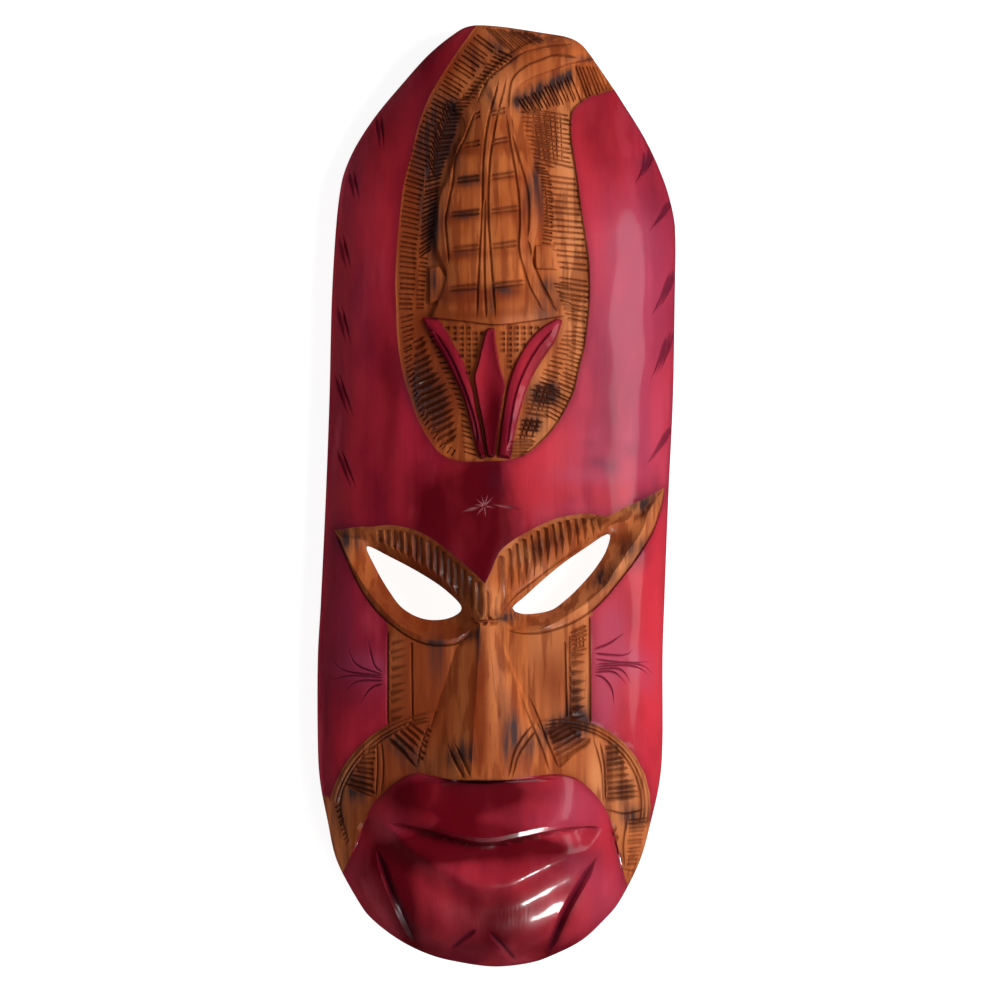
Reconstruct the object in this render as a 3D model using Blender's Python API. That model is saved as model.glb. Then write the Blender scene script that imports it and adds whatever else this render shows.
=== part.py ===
"""A carved wooden face mask, in metres. It lies on its hollow back: +Z comes out of the face, +Y runs
to the crown and +X to the right of someone who looks at the face.

The carving is drawn on a grid laid over the blank, 382 steps across and 1000 steps along, with its
zero in the middle. Heights, depths, walls and the widths of cuts are real sizes."""

import bpy
import numpy as np
from mathutils import Vector
from mathutils.geometry import delaunay_2d_cdt
from mathutils.kdtree import KDTree

MASK_LENGTH = 0.500
MASK_WIDTH = 0.191
GRID_ACROSS = 382
GRID_ALONG = 1000

# The blank: half a log, rounded on its front, with a thin edge at the sides and a thick crown
SIDE_EDGE = 0.012
CROWN_EDGE = 0.024
BLANK_RISE = 0.041
CROWN_FALL = 0.008
SHOULDER = 0.080
KEEL_RISE = 0.007
KEEL_SPREAD = 0.045

# The hollow back and the flat ring round it
RIM_LAND = 0.012
HOLLOW_DEPTH = 0.030
HOLLOW_SHOULDER = 0.055
WALL = 0.008

# The face
FACE_SET_BACK = 0.005
BROW_DROP = 0.008
EYE_DEPTH = 0.011
NOSE_TOP_RISE = 0.006
NOSE_TIP_RISE = 0.019
BRIDGE_HALF_WIDTH = 0.0085
LEFT_CHEEK_RADIUS = 0.0633
RIGHT_CHEEK_RADIUS = 0.0480
CHEEK_DISC_RISE = 0.0025
LIP_EDGE = 0.009
MUZZLE_RISE = 0.008
MUZZLE_SHOULDER = 0.030
LIP_SCOOP = 0.005
MOUTH_DEPTH = 0.009
CHIN_HOLLOW = 0.003
CHIN_SWELL = 0.003

# The relief on the forehead
PANEL_DEPTH = 0.0035
LIZARD_STEP = 0.0030
LIZARD_SWELL = 0.0030
JAW_RISE = 0.0040
TONGUE_RISE = 0.0045
LEG_RISE = 0.0022

# Widths and depths of the chisel's cuts
FLUTE_WIDTH = 0.0030
FLUTE_DEPTH = 0.0022
GASH_WIDTH = 0.0030
GASH_DEPTH = 0.0018
LADDER_WIDTH = 0.0026
LADDER_DEPTH = 0.0018
LIZARD_GROOVE_WIDTH = 0.0020
LIZARD_GROOVE_DEPTH = 0.0012
FINE_WIDTH = 0.0016
FINE_DEPTH = 0.0010
CHEEK_CUT_WIDTH = 0.0055
CHEEK_CUT_DEPTH = 0.0035

# How closely lines and surfaces are followed
LINE_STEP = 0.0065
FACE_STEP = 0.0080
FOREHEAD_STEP = 0.0120
BACK_STEP = 0.0150
STEP_SLOPE = 0.0010
LAND_SLACK = 0.0003


def on_grid(points):
    return np.array(points, float) * (MASK_WIDTH / GRID_ACROSS, MASK_LENGTH / GRID_ALONG)


def curve(points, closed=False):
    """A smooth line through grid points, with a point about every LINE_STEP."""
    knots = on_grid(points)
    if closed:
        before, after = knots[[-1]], knots[:2]
    else:
        before, after = 2 * knots[[0]] - knots[[1]], 2 * knots[[-1]] - knots[[-2]]
    knots = np.concatenate([before, knots, after])
    line = []
    for p, a, b, n in zip(knots, knots[1:], knots[2:], knots[3:]):
        count = max(1, round(np.linalg.norm(b - a) / LINE_STEP))
        for t in np.arange(count) / count:
            leave, arrive = (b - p) / 2, (n - a) / 2
            line.append(
                (2 * t**3 - 3 * t**2 + 1) * a + (t**3 - 2 * t**2 + t) * leave
                + (3 * t**2 - 2 * t**3) * b + (t**3 - t**2) * arrive
            )
    return np.array(line if closed else line + [knots[-2]])


def joined(*lines):
    """Lines that meet end to end, as one line with corners where they meet."""
    return np.concatenate([lines[0]] + [line[1:] for line in lines[1:]])


def ring(line):
    return np.concatenate([line, line[:1]])


def away(points, line):
    """How far each point is from a line."""
    nearest = np.full(len(points), np.inf)
    for start, run in zip(line, np.diff(line, axis=0)):
        offset = points - start
        along = np.clip(offset @ run / max(run @ run, 1e-18), 0, 1)
        nearest = np.minimum(nearest, np.hypot(*(offset - along[:, None] * run).T))
    return nearest


def within(points, loop):
    x, y = points.T
    odd = np.zeros(len(points), bool)
    for (ax, ay), (bx, by) in zip(loop, np.roll(loop, -1, axis=0)):
        if ay != by:
            odd ^= ((ay > y) != (by > y)) & (x < ax + (y - ay) / (by - ay) * (bx - ax))
    return odd


def depth_inside(points, loop):
    """How far each point is inside a loop, less than zero outside it."""
    return np.where(within(points, loop), 1, -1) * away(points, ring(loop))


def inset(line, gap):
    """The line moved to its left, which is inwards on a loop that runs counterclockwise."""
    run = np.gradient(line, axis=0)
    normal = np.stack([-run[:, 1], run[:, 0]], axis=1)
    return line + gap * normal / np.linalg.norm(normal, axis=1, keepdims=True)


def inset_loop(loop, gap):
    padded = np.concatenate([loop[-1:], loop, loop[:1]])
    area = np.cross(loop, np.roll(loop, -1, axis=0)).sum()
    return inset(padded, gap if area > 0 else -gap)[1:-1]


def ramp(t):
    return np.clip(t, 0, 1)


def smooth(t):
    t = ramp(t)
    return t * t * (3 - 2 * t)


def swell(t):
    """A round shoulder: steep at first and level at 1."""
    return 1 - (1 - ramp(t)) ** 2


# Lines of the drawing, in steps of the grid

OUTLINE = curve([
    (-29, 499), (-49, 488), (-72, 469), (-96, 443), (-132, 400), (-157, 358), (-168, 315), (-175, 220),
    (-178, 103), (-182, -4), (-187, -110), (-190.4, -174), (-190.4, -259), (-188, -302), (-180, -344),
    (-170, -387), (-148, -429), (-132, -450), (-103, -472), (-72, -487), (-41, -495), (-2, -500),
    (36, -496), (62, -487), (91, -472), (115, -450), (132, -429), (153, -387), (165, -344), (174, -302),
    (177, -259), (177, -174), (179, -110), (183, -4), (188, 103), (190, 209), (190.7, 273), (188, 302),
    (178, 337), (159, 379), (132, 422), (118, 443), (101, 467), (89, 481), (75, 488), (52, 492),
    (1, 499.2),
], closed=True)

KEEL = curve([(4, 34), (2, -11), (0, -48), (-12, -92)])
LEFT_BROW = curve([
    (-172, -36), (-147, -32), (-132, -32), (-113, -30), (-90, -34), (-76, -40), (-63, -48), (-50, -58),
    (-37, -69), (-24, -80), (-12, -92),
])
RIGHT_BROW = curve([
    (-12, -92), (-5, -77), (3, -59), (16, -47), (31, -38), (48, -29), (63, -23), (76, -20), (93, -18),
    (105, -19), (116, -21),
    (124, -18), (137, -11), (159, -1), (179, 10),
])
BROW = joined(LEFT_BROW, RIGHT_BROW)
BELOW_BROW = np.concatenate([on_grid([(-220, -40)]), BROW, on_grid([(220, 30), (220, -560), (-220, -560)])])

LEFT_BAND = curve([(-164, -43), (-138, -47), (-107, -61), (-81, -76), (-54, -95), (-36, -113), (-22, -131)])
RIGHT_BAND = curve([
    (4, -129), (11, -114), (19, -103), (36, -88), (53, -75), (70, -63), (89, -52), (106, -41),
    (122, -30), (141, -25), (159, -16),
])
BAND_FOOT = np.concatenate([BROW[:1], LEFT_BAND, RIGHT_BAND, BROW[-1:]])
BAND = np.concatenate([BROW, BAND_FOOT[-2:0:-1]])
LEFT_EYE = curve([
    (-138, -53), (-113, -64), (-81, -81), (-54, -99), (-37, -118), (-51, -129), (-76, -130), (-99, -119),
    (-115, -99), (-129, -75),
], closed=True)
RIGHT_EYE = curve([
    (17, -118), (31, -105), (52, -86), (73, -69), (95, -54), (113, -42), (121, -41), (116, -59),
    (103, -79), (86, -98), (73, -110),
    (59, -120), (41, -124), (26, -124),
], closed=True)
LEFT_LID = curve([
    (-22, -132), (-38, -145), (-65, -149), (-97, -137), (-120, -116), (-143, -86), (-157, -60), (-164, -43),
])
RIGHT_LID = curve([
    (159, -16), (154, -32), (146, -46), (137, -57), (131, -68), (122, -80), (115, -92), (97, -109),
    (74, -124), (52, -136), (30, -142), (11, -140),
    (4, -129),
])
LEFT_SOCKET = joined(LEFT_BAND, LEFT_LID)[:-1]
RIGHT_SOCKET = joined(RIGHT_BAND, RIGHT_LID)[:-1]
LEFT_RIM = curve([
    (-172, -36), (-160, -63), (-147, -92), (-133, -114), (-118, -130), (-94, -148), (-71, -157),
    (-44, -156),
    (-28, -146),
])
RIGHT_RIM = curve([
    (179, 10), (176, -7), (167, -34), (159, -49), (145, -70), (129, -90), (115, -107), (100, -121),
    (79, -134), (53, -143), (28, -145), (9, -141),
])

NOSE_LEFT_FOOT = on_grid([(-24, -134), (-30, -146), (-43, -160), (-83, -286), (-86, -298)])
NOSE_LEFT_EDGE = on_grid([(-17, -134), (-27, -298)])
NOSE_RIGHT_EDGE = on_grid([(-9, -134), (9, -298)])
NOSE_RIGHT_FOOT = on_grid([(3, -131), (6, -150), (14, -172), (29, -206), (47, -248), (61, -289), (64, -298)])
NOSE_BASE = on_grid([(-86, -298), (-27, -298), (9, -298), (64, -298)])
NOSE_BASE_FALL = 0.0016
NOSE_FOOT_FADE = 0.004

LEFT_DISC, RIGHT_DISC = on_grid([(-54, -352), (68, -329)])
DISCS = [(LEFT_DISC, LEFT_CHEEK_RADIUS), (RIGHT_DISC, RIGHT_CHEEK_RADIUS)]
MUZZLE = curve([
    (-163, -399), (-154, -379), (-143, -352), (-132, -327), (-120, -314), (-105, -301), (-87, -292),
    (-65, -295), (-43, -299), (-20, -301), (2, -300), (24, -296), (47, -294), (65, -293), (83, -297),
    (99, -309), (115, -329), (123, -349), (130, -376), (137, -406), (141, -416),
])
MUZZLE_AREA = np.concatenate([MUZZLE, on_grid([(141, -560), (-163, -560)])])
UPPER_LIP = curve([
    (-121, -340), (-103, -340), (-76, -345), (-43, -354), (-20, -359), (-2, -359), (18, -355), (47, -349),
    (81, -344), (104, -344), (115, -347),
])
LOWER_LIP = curve([
    (115, -347), (97, -373), (75, -380), (47, -393), (14, -409), (-12, -412), (-31, -408), (-51, -396),
    (-69, -384), (-91, -370), (-121, -340),
])
MOUTH = joined(UPPER_LIP, LOWER_LIP)[:-1]
SCOOP_LEFT, SCOOP_RIGHT = on_grid([(-89, 0), (80, 0)])[:, 0]

LEFT_PANEL = curve([
    (-19, 503), (-44, 468), (-60, 443), (-71, 424), (-82, 396), (-90, 363), (-99, 325), (-104, 280),
    (-106, 249), (-107, 225), (-106, 196), (-105, 169), (-102, 145), (-97, 122), (-90, 101), (-83, 81),
    (-73, 63), (-62, 48), (-49, 40),
    (-34, 37), (-17, 37),
])
RIGHT_PANEL = curve([
    (-17, 37), (9, 38), (21, 41), (35, 47), (50, 60), (63, 75), (73, 92), (82, 111), (88, 137),
    (93, 156), (97, 184),
    (99, 209), (99, 230), (98, 252), (95, 273), (90, 305), (86, 337), (81, 369), (79, 392), (81, 407),
    (87, 415), (100, 424),
    (114, 428), (134, 435),
])
PANEL = np.concatenate([LEFT_PANEL, RIGHT_PANEL[1:], on_grid([(200, 520), (-19, 560)])])

LIZARD = joined(
    curve([
        (-30, 421), (-40, 419), (-46, 411), (-37, 401), (-35, 386), (-44, 366), (-52, 336), (-60, 320),
        (-64, 292), (-66, 273), (-60, 251), (-54, 234), (-60, 212), (-70, 188),
    ]),
    curve([(-70, 188), (-35, 184), (1, 180), (36, 184), (73, 190)]),
    curve([
        (72, 190), (57, 209), (46, 229), (39, 247), (41, 265), (46, 288), (46, 311), (44, 328),
        (38, 344), (31, 358), (23, 372),
        (18, 387), (16, 403), (17, 420), (23, 432), (36, 441), (56, 449), (83, 459), (111, 464),
    ]),
    curve([
        (111, 464), (98, 477), (80, 486), (52, 488), (31, 480), (12, 468), (-5, 452), (-19, 435),
        (-30, 421),
    ]),
)[:-1]
LEFT_LEG = on_grid([(-74, 243), (-60, 244), (-50, 228), (-55, 208), (-72, 202)])
RIGHT_LEG = on_grid([(40, 266), (64, 266), (64, 239), (40, 239)])
LEFT_JAW = joined(
    curve([(-79, 190), (-67, 164), (-56, 147), (-46, 128), (-37, 109), (-31, 90), (-26, 69), (-20, 47),
    (-16, 39)]),
    curve([(-16, 39), (-11, 41), (-16, 71), (-21, 92), (-24, 110), (-29, 125), (-36, 145), (-45, 160),
    (-53, 175), (-62, 188)]),
)
RIGHT_JAW = joined(
    curve([(15, 39), (20, 69), (27, 96), (33, 115), (41, 132), (52, 149), (63, 166), (70, 186)]),
    curve([(70, 186), (64, 188), (48, 179), (35, 166), (27, 154), (20, 141), (14, 124), (10, 107),
    (7, 90), (4, 69), (1, 41)]),
)
TONGUE = joined(
    curve([(-2, 177), (-10, 177), (-16, 158), (-20, 141), (-24, 126), (-22, 112), (-18, 90), (-14, 69),
    (-11, 49), (-9, 42)]),
    curve([(-9, 42), (-2, 42), (1, 63), (4, 85), (7, 104), (9, 118), (4, 137), (0, 159), (-2, 177)]),
)[:-1]

RELIEF = [
    (LIZARD, LIZARD_STEP, LIZARD_SWELL), (LEFT_LEG, LEG_RISE, 0), (RIGHT_LEG, LEG_RISE, 0),
    (LEFT_JAW, JAW_RISE, 0.001), (RIGHT_JAW, JAW_RISE, 0.001), (TONGUE, TONGUE_RISE, 0.001),
]
RELIEF_SHOULDER = 0.014


# Heights of the front, worked out from the lines

def across(y, line):
    """Where a line that runs down the face lies at each height y."""
    return np.interp(-y, -line[:, 1], line[:, 0])


def blank_height(points):
    """The rounded blank, before anything is cut."""
    x, y = points.T
    crown = smooth((y / MASK_LENGTH - 0.36) / 0.12)
    edge = SIDE_EDGE + (CROWN_EDGE - SIDE_EDGE) * crown
    top = SIDE_EDGE + BLANK_RISE - CROWN_FALL * smooth((y / MASK_LENGTH - 0.22) / 0.28)
    inward = ramp(away(points, ring(OUTLINE)) / SHOULDER)
    return edge + (top - edge) * swell(inward) ** 0.62


def keel_height(points):
    """The ridge down the forehead, from the crown to the point between the brows."""
    x, y = points.T
    beside = np.abs(x - across(y, KEEL)) / KEEL_SPREAD
    return KEEL_RISE * (1 - ramp(beside)) ** 1.5 * (1 - 0.6 * smooth((y / MASK_LENGTH - 0.1) / 0.3))


def nose_height(points):
    """A long wedge with a flat front, low at the bridge and high over the lip."""
    x, y = points.T
    top, base = NOSE_LEFT_EDGE[0, 1], NOSE_LEFT_EDGE[1, 1]
    rise = NOSE_TOP_RISE + (NOSE_TIP_RISE - NOSE_TOP_RISE) * ramp((top - y) / (top - base))
    left_foot, left_edge = across(y, NOSE_LEFT_FOOT), across(y, NOSE_LEFT_EDGE)
    right_edge, right_foot = across(y, NOSE_RIGHT_EDGE), across(y, NOSE_RIGHT_FOOT)
    left = ramp((x - left_foot) / (left_edge - left_foot))
    right = swell((right_foot - x) / (right_foot - right_edge) * 0.7)
    ends = (y < top) * ramp((y - base) / NOSE_BASE_FALL + 1)
    return rise * np.minimum(left, right) * ends


def disc_height(points):
    """The round cheeks beside the nose, a step higher than the rest of the face."""
    rise = np.zeros(len(points))
    for centre, radius in DISCS:
        inside = radius - np.linalg.norm(points - centre, axis=1)
        share = 0.6 * ramp(inside / STEP_SLOPE) + 0.4 * smooth(inside / 0.03)
        rise = np.maximum(rise, CHEEK_DISC_RISE * share)
    return rise


def muzzle_height(points):
    """The swollen mouth and chin, over the level of the face."""
    x, y = points.T
    inside = depth_inside(points, MUZZLE_AREA)
    from_edge = away(points, ring(OUTLINE))
    step = 0.0015 + (LIP_EDGE - 0.0015) * smooth((from_edge - 0.015) / 0.05)
    rise = step * ramp(inside / STEP_SLOPE) + MUZZLE_RISE * swell(inside / MUZZLE_SHOULDER)
    from_top, from_lip = away(points, MUZZLE), away(points, UPPER_LIP)
    between = from_top / (from_top + from_lip + 1e-9)
    above_mouth = (y > np.interp(x, UPPER_LIP[:, 0], UPPER_LIP[:, 1])) & (inside > 0)
    sides = smooth((x - SCOOP_LEFT) / 0.006) * smooth((SCOOP_RIGHT - x) / 0.012)
    scoop = LIP_SCOOP * np.sin(np.pi * between) * sides * above_mouth
    in_mouth = within(points, MOUTH)
    from_lower = away(points, LOWER_LIP)
    gape = from_lip + from_lower + 1e-9
    share = from_lip / gape
    depth = np.minimum(MOUTH_DEPTH, 0.45 * gape)
    mouth = depth * np.minimum(share / 0.12, (1 - share) / 0.88) * in_mouth
    below_mouth = y < np.interp(x, LOWER_LIP[::-1, 0], LOWER_LIP[::-1, 1])
    chin = CHIN_SWELL * smooth((from_lower - 0.010) / 0.025) - CHIN_HOLLOW * swell(from_lower / 0.012)
    return (rise + chin * below_mouth) * smooth(from_edge / 0.025) ** 0.5 * (inside > 0) - scoop - mouth


def relief_height(points):
    """The sunk panel on the forehead and the lizard, jaws and tongue that stand in it."""
    rise = -PANEL_DEPTH * ramp(depth_inside(points, PANEL) / STEP_SLOPE)
    raised = np.zeros(len(points))
    for loop, step, more in RELIEF:
        inside = depth_inside(points, loop)
        raised = np.maximum(raised, step * ramp(inside / STEP_SLOPE) + more * swell(inside / RELIEF_SHOULDER))
    return rise + raised


def form_height(points):
    """The front of the mask without its chisel cuts."""
    x, y = points.T
    blank = blank_height(points)
    forehead = blank + keel_height(points) + relief_height(points)
    inward = smooth(away(points, ring(OUTLINE)) / 0.035)
    set_back = FACE_SET_BACK * inward
    below = smooth(depth_inside(points, BELOW_BROW) / 0.006)
    tips = smooth((x - BROW[0, 0]) / 0.025) * smooth((BROW[-1, 0] - x) / 0.025)

    level = blank - set_back * below
    in_muzzle = within(points, MUZZLE_AREA)
    nose = nose_height(points)
    disc = disc_height(points) * (1 - ramp(nose / NOSE_FOOT_FADE))
    past_step = ramp(away(points, MUZZLE) / STEP_SLOPE)
    swollen = np.maximum((nose + disc) * (1 - past_step) + muzzle_height(points), nose)
    face = level + np.where(in_muzzle, swollen, nose + disc)

    bridge = np.exp(-(((x - KEEL[-1, 0]) / BRIDGE_HALF_WIDTH) ** 2))
    band_foot = blank - set_back - BROW_DROP * tips * (1 - bridge) + NOSE_TOP_RISE * bridge
    from_brow, from_foot = away(points, BROW), away(points, BAND_FOOT)
    band = forehead + (band_foot - forehead) * from_brow / (from_brow + from_foot + 1e-9)

    height = np.where(within(points, BELOW_BROW), face, forehead)
    height = np.where(within(points, BAND), band, height)
    for socket, upper, lower, eye in (
        (LEFT_SOCKET, LEFT_BAND, LEFT_LID, LEFT_EYE), (RIGHT_SOCKET, RIGHT_BAND, RIGHT_LID, RIGHT_EYE),
    ):
        from_upper, from_lower, from_eye = away(points, upper), away(points, lower), away(points, ring(eye))
        from_side = np.minimum(from_upper, from_lower)
        upper_share = from_lower / (from_upper + from_lower + 1e-9)
        side = blank - set_back - BROW_DROP * tips * (1 - bridge) * upper_share
        floor = blank - set_back - EYE_DEPTH * tips
        bevel = side + (np.minimum(floor, side) - side) * from_side / (from_side + from_eye + 1e-9)
        height = np.where(within(points, socket), bevel, height)
    return height


# Chisel cuts: each is a line, a width and a depth, and runs out at both ends

CUT_RUN_OUT = 0.16


def cut(points, width, depth):
    """A cut along grid points. Two points make a straight cut."""
    if len(points) == 2:
        start, end = on_grid(points)
        line = np.array([start + (end - start) * t for t in (0, CUT_RUN_OUT, 1 - CUT_RUN_OUT, 1)])
    else:
        line = curve(points)
    return line, width, depth


def share_along(line):
    lengths = np.concatenate([[0], np.linalg.norm(np.diff(line, axis=0), axis=1).cumsum()])
    return lengths / lengths[-1]


def run_out(share):
    return ramp(np.minimum(share, 1 - share) / CUT_RUN_OUT)


def edges_of_cut(line, width, depth):
    """The two edges of a cut and the bottom between them."""
    half = width / 2 * run_out(share_along(line))
    normal = inset(line, 1) - line
    return [line, line + normal * half[:, None], line - normal * half[:, None]]


def cut_depth(points, cuts):
    deepest = np.zeros(len(points))
    for line, width, depth in cuts:
        near = np.all((points > line.min(axis=0) - width) & (points < line.max(axis=0) + width), axis=1)
        near = np.flatnonzero(near)
        shares = share_along(line)
        nearest, share = np.full(len(near), np.inf), np.zeros(len(near))
        for i, run in enumerate(np.diff(line, axis=0)):
            offset = points[near] - line[i]
            along = np.clip(offset @ run / (run @ run), 0, 1)
            gap = np.hypot(*(offset - along[:, None] * run).T)
            closer = gap < nearest
            nearest = np.where(closer, gap, nearest)
            share = np.where(closer, shares[i] + along * (shares[i + 1] - shares[i]), share)
        fade = run_out(share)
        sunk = depth * fade * ramp(1 - nearest / np.maximum(width / 2 * fade, 1e-6))
        deepest[near] = np.maximum(deepest[near], sunk)
    return deepest


def flutes():
    """The upright flutes of the two brow bands."""
    found = []
    across_step, along_step = MASK_WIDTH / GRID_ACROSS, MASK_LENGTH / GRID_ALONG
    left, right = (LEFT_BROW, LEFT_BAND, -124, -18, -1), (RIGHT_BROW, RIGHT_BAND, 6, 112, -5)
    for brow, foot, first, last, lean in (left, right):
        for x in np.linspace(first, last, 15):
            high = np.interp((x + lean) * across_step, brow[:, 0], brow[:, 1]) / along_step
            low = np.interp(x * across_step, foot[:, 0], foot[:, 1]) / along_step
            found.append(cut([(x + lean, high - 4), (x, low + 3)], FLUTE_WIDTH, FLUTE_DEPTH))
    return found


def ladders():
    """The short cuts stacked beside the nose."""
    left = [cut([(-113, y), (-94, y - 3)], LADDER_WIDTH, LADDER_DEPTH) for y in np.linspace(-152, -228, 10)]
    right = [cut([(75, y), (93, y - 4)], LADDER_WIDTH, LADDER_DEPTH) for y in np.linspace(-140, -232, 10)]
    return left + right


def temple_gashes():
    left = [
        [(-128, 408), (-124, 368)], [(-157, 347), (-150, 313)], [(-168, 279), (-159, 240)],
        [(-169, 203), (-159, 160)], [(-172, 131), (-156, 82)], [(-170, 52), (-153, 6)],
    ]
    right = [
        [(153, 339), (159, 371)], [(165, 275), (178, 319)], [(170, 195), (184, 241)],
        [(169, 125), (182, 173)], [(164, 32), (177, 78)],
    ]
    found = [cut(line, GASH_WIDTH, GASH_DEPTH) for line in left]
    for low, high in right:
        for gap in (-5, 2):
            found.append(cut([(low[0] + gap, low[1]), (high[0] + gap, high[1])], GASH_WIDTH, GASH_DEPTH))
    return found


def whiskers():
    """The sprays of thin cuts on the cheeks."""
    left = [
        [(-120, -186), (-130, -178), (-138, -145)], [(-120, -189), (-149, -178), (-159, -156)],
        [(-120, -190), (-163, -184), (-177, -166)], [(-120, -192), (-155, -190), (-180, -196)],
        [(-120, -195), (-148, -196), (-164, -210)], [(-120, -198), (-134, -203), (-146, -221)],
    ]
    right = [
        [(103, -162), (120, -155), (136, -144)], [(103, -168), (135, -169), (147, -160)],
        [(103, -174), (134, -176), (166, -175)], [(103, -181), (144, -180), (168, -196)],
        [(103, -187), (133, -189), (144, -200)], [(103, -193), (120, -202), (128, -234)],
    ]
    return [cut(line, FINE_WIDTH, FINE_DEPTH) for line in left + right]


def cheek_marks():
    """The arcs round the cheek discs and the slanting cuts in them."""
    found = []
    for (centre, radius), first, last in zip(DISCS, (168, 102), (98, -16)):
        for gap in (0.0012, 0.0052):
            angles = np.radians(np.linspace(first, last, 9))
            rim = centre + (radius - gap) * np.stack([np.cos(angles), np.sin(angles)], axis=1)
            found.append((rim, FINE_WIDTH, FINE_DEPTH))
    for x in (-110, -102, -94, -87):
        start, end = (x, -256 - (x + 110) * 0.6), (x + 20, -276 - (x + 110) * 0.9)
        found.append(cut([start, end], LADDER_WIDTH, LADDER_DEPTH))
    for i in range(4):
        start, end = (53 + i * 4, -257 - i * 8), (70 + i * 9, -247 - i * 5)
        found.append(cut([start, end], LADDER_WIDTH, LADDER_DEPTH))
    for y in range(-330, -268, 9):
        found.append(cut([(118, y), (140 - (y + 265) * 0.2, y - 3)], LADDER_WIDTH, LADDER_DEPTH))
    for y in range(-325, -268, 9):
        found.append(cut([(-150 + (y + 265) * 0.25, y), (-128, y - 2)], LADDER_WIDTH, LADDER_DEPTH))
    return found


def mouth_and_chin_cuts():
    left = [(-128, -371), (-119, -393), (-109, -421), (-96, -451), (-84, -477)]
    right = [(106, -381), (89, -410), (71, -442), (60, -470), (54, -487)]
    return [
        cut(left, CHEEK_CUT_WIDTH, CHEEK_CUT_DEPTH),
        cut(right, CHEEK_CUT_WIDTH, CHEEK_CUT_DEPTH),
        cut([(-21, -457), (-36, -468), (-49, -480)], 0.004, 0.0018),
        cut([(-9, -459), (6, -475), (21, -493)], 0.004, 0.0018),
        cut([(-50, -249), (-38, -272), (-27, -296)], 0.0035, 0.0018),
    ]


def lizard_marks():
    """The grooves along the lizard and the pairs of bars across it."""
    along = [
        [(7, 435), (-5, 403), (-11, 369), (-12, 326), (-13, 284), (-15, 241), (-16, 188)],
        [(-26, 409), (-36, 379), (-48, 353), (-51, 315), (-52, 273), (-50, 243), (-62, 209), (-66, 192)],
        [(14, 408), (16, 395), (24, 374), (33, 346), (36, 314), (35, 275), (37, 240), (50, 212), (61, 190)],
    ]
    found = [cut(line, LIZARD_GROOVE_WIDTH, LIZARD_GROOVE_DEPTH) for line in along]
    found += [
        cut([(-21, 419), (-11, 440), (12, 459), (38, 473), (66, 477), (89, 478)], FINE_WIDTH, FINE_DEPTH),
        cut([(15, 419), (19, 435), (31, 452), (52, 463), (66, 467), (94, 466)], FINE_WIDTH, FINE_DEPTH),
    ]
    for y in (377, 347, 310, 272, 235, 197):
        found.append(cut([(-44, y - 3), (-16, y)], LADDER_WIDTH, FINE_DEPTH))
        found.append(cut([(-7, y), (28, y + 3)], LADDER_WIDTH, FINE_DEPTH))
    return found


def star():
    """The small star cut between the brows."""
    rays = []
    for angle in np.radians([20, 65, 110, 160, 250, 290]):
        rays.append(((-11, -10), (-11 + 14 * np.cos(angle), -10 + 14 * np.sin(angle))))
    rays += [((-14, -14), (-40, -20)), ((-8, -10), (30, -13))]
    return [cut(list(ray), FINE_WIDTH, FINE_DEPTH) for ray in rays]


def rim_lines():
    """The thin lines that part the eye rims from the cheeks and the ladders from the dyed sides."""
    lines = [(LEFT_RIM, FINE_WIDTH, FINE_DEPTH), (RIGHT_RIM, FINE_WIDTH, FINE_DEPTH)]
    lines.append(cut([(-116, -140), (-116, -243)], FINE_WIDTH, FINE_DEPTH))
    lines.append(cut([(-90, -150), (-90, -240)], FINE_WIDTH, FINE_DEPTH))
    lines.append(cut([(101, -130), (101, -243)], FINE_WIDTH, FINE_DEPTH))
    return lines


CUTS = (
    flutes() + ladders() + temple_gashes() + whiskers() + cheek_marks() + mouth_and_chin_cuts()
    + lizard_marks() + star() + rim_lines()
)


def front_height(points):
    return form_height(points) - cut_depth(points, CUTS)


def back_height(points):
    """A flat ring to lie on, then a rounded hollow that leaves the wall in front of it."""
    inward = away(points, ring(OUTLINE)) - RIM_LAND
    hollow = HOLLOW_DEPTH * swell((inward - LAND_SLACK) / HOLLOW_SHOULDER)
    return np.clip(np.minimum(hollow, form_height(points) - WALL), 0, None)


# The solid: a carved front sheet, a hollow back sheet and the walls between their edges

MERGE = 0.02
MILLIMETRES = 1000


def spread(step, low, high):
    """Evenly spread points inside the mask, between two shares of its length."""
    points = []
    for row, y in enumerate(np.arange(low * MASK_LENGTH, high * MASK_LENGTH, step * 0.866)):
        xs = np.arange(-0.55 * MASK_WIDTH, 0.55 * MASK_WIDTH, step) + (row % 2) * step / 2
        points += [(x, y) for x in xs]
    points = np.array(points)
    return points[depth_inside(points, OUTLINE) > step / 3]


def clear_of(points, lines, gap):
    """The points that are further than the gap from every point of the lines."""
    marks = np.concatenate(lines)
    tree = KDTree(len(marks))
    for i, (x, y) in enumerate(marks):
        tree.insert((x, y, 0), i)
    tree.balance()
    return np.array([p for p in points if tree.find((p[0], p[1], 0))[2] > gap])


def sheet(lines, points, outer, holes):
    """Triangles between the outer loop and the holes, with every line as an edge."""
    corners, edges = [], []
    for line in lines:
        first = len(corners)
        corners += [Vector(p * MILLIMETRES) for p in line]
        edges += [(first + i, first + i + 1) for i in range(len(line) - 1)]
    corners += [Vector(p * MILLIMETRES) for p in points]
    flat, _, faces, sources, _, _ = delaunay_2d_cdt(corners, edges, [], 0, MERGE)
    flat, faces = np.array(flat) / MILLIMETRES, np.array(faces)
    middles = flat[faces].mean(axis=1)
    kept = within(middles, outer)
    for hole in holes:
        kept &= ~within(middles, hole)
    return flat, faces[kept], sources


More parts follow.
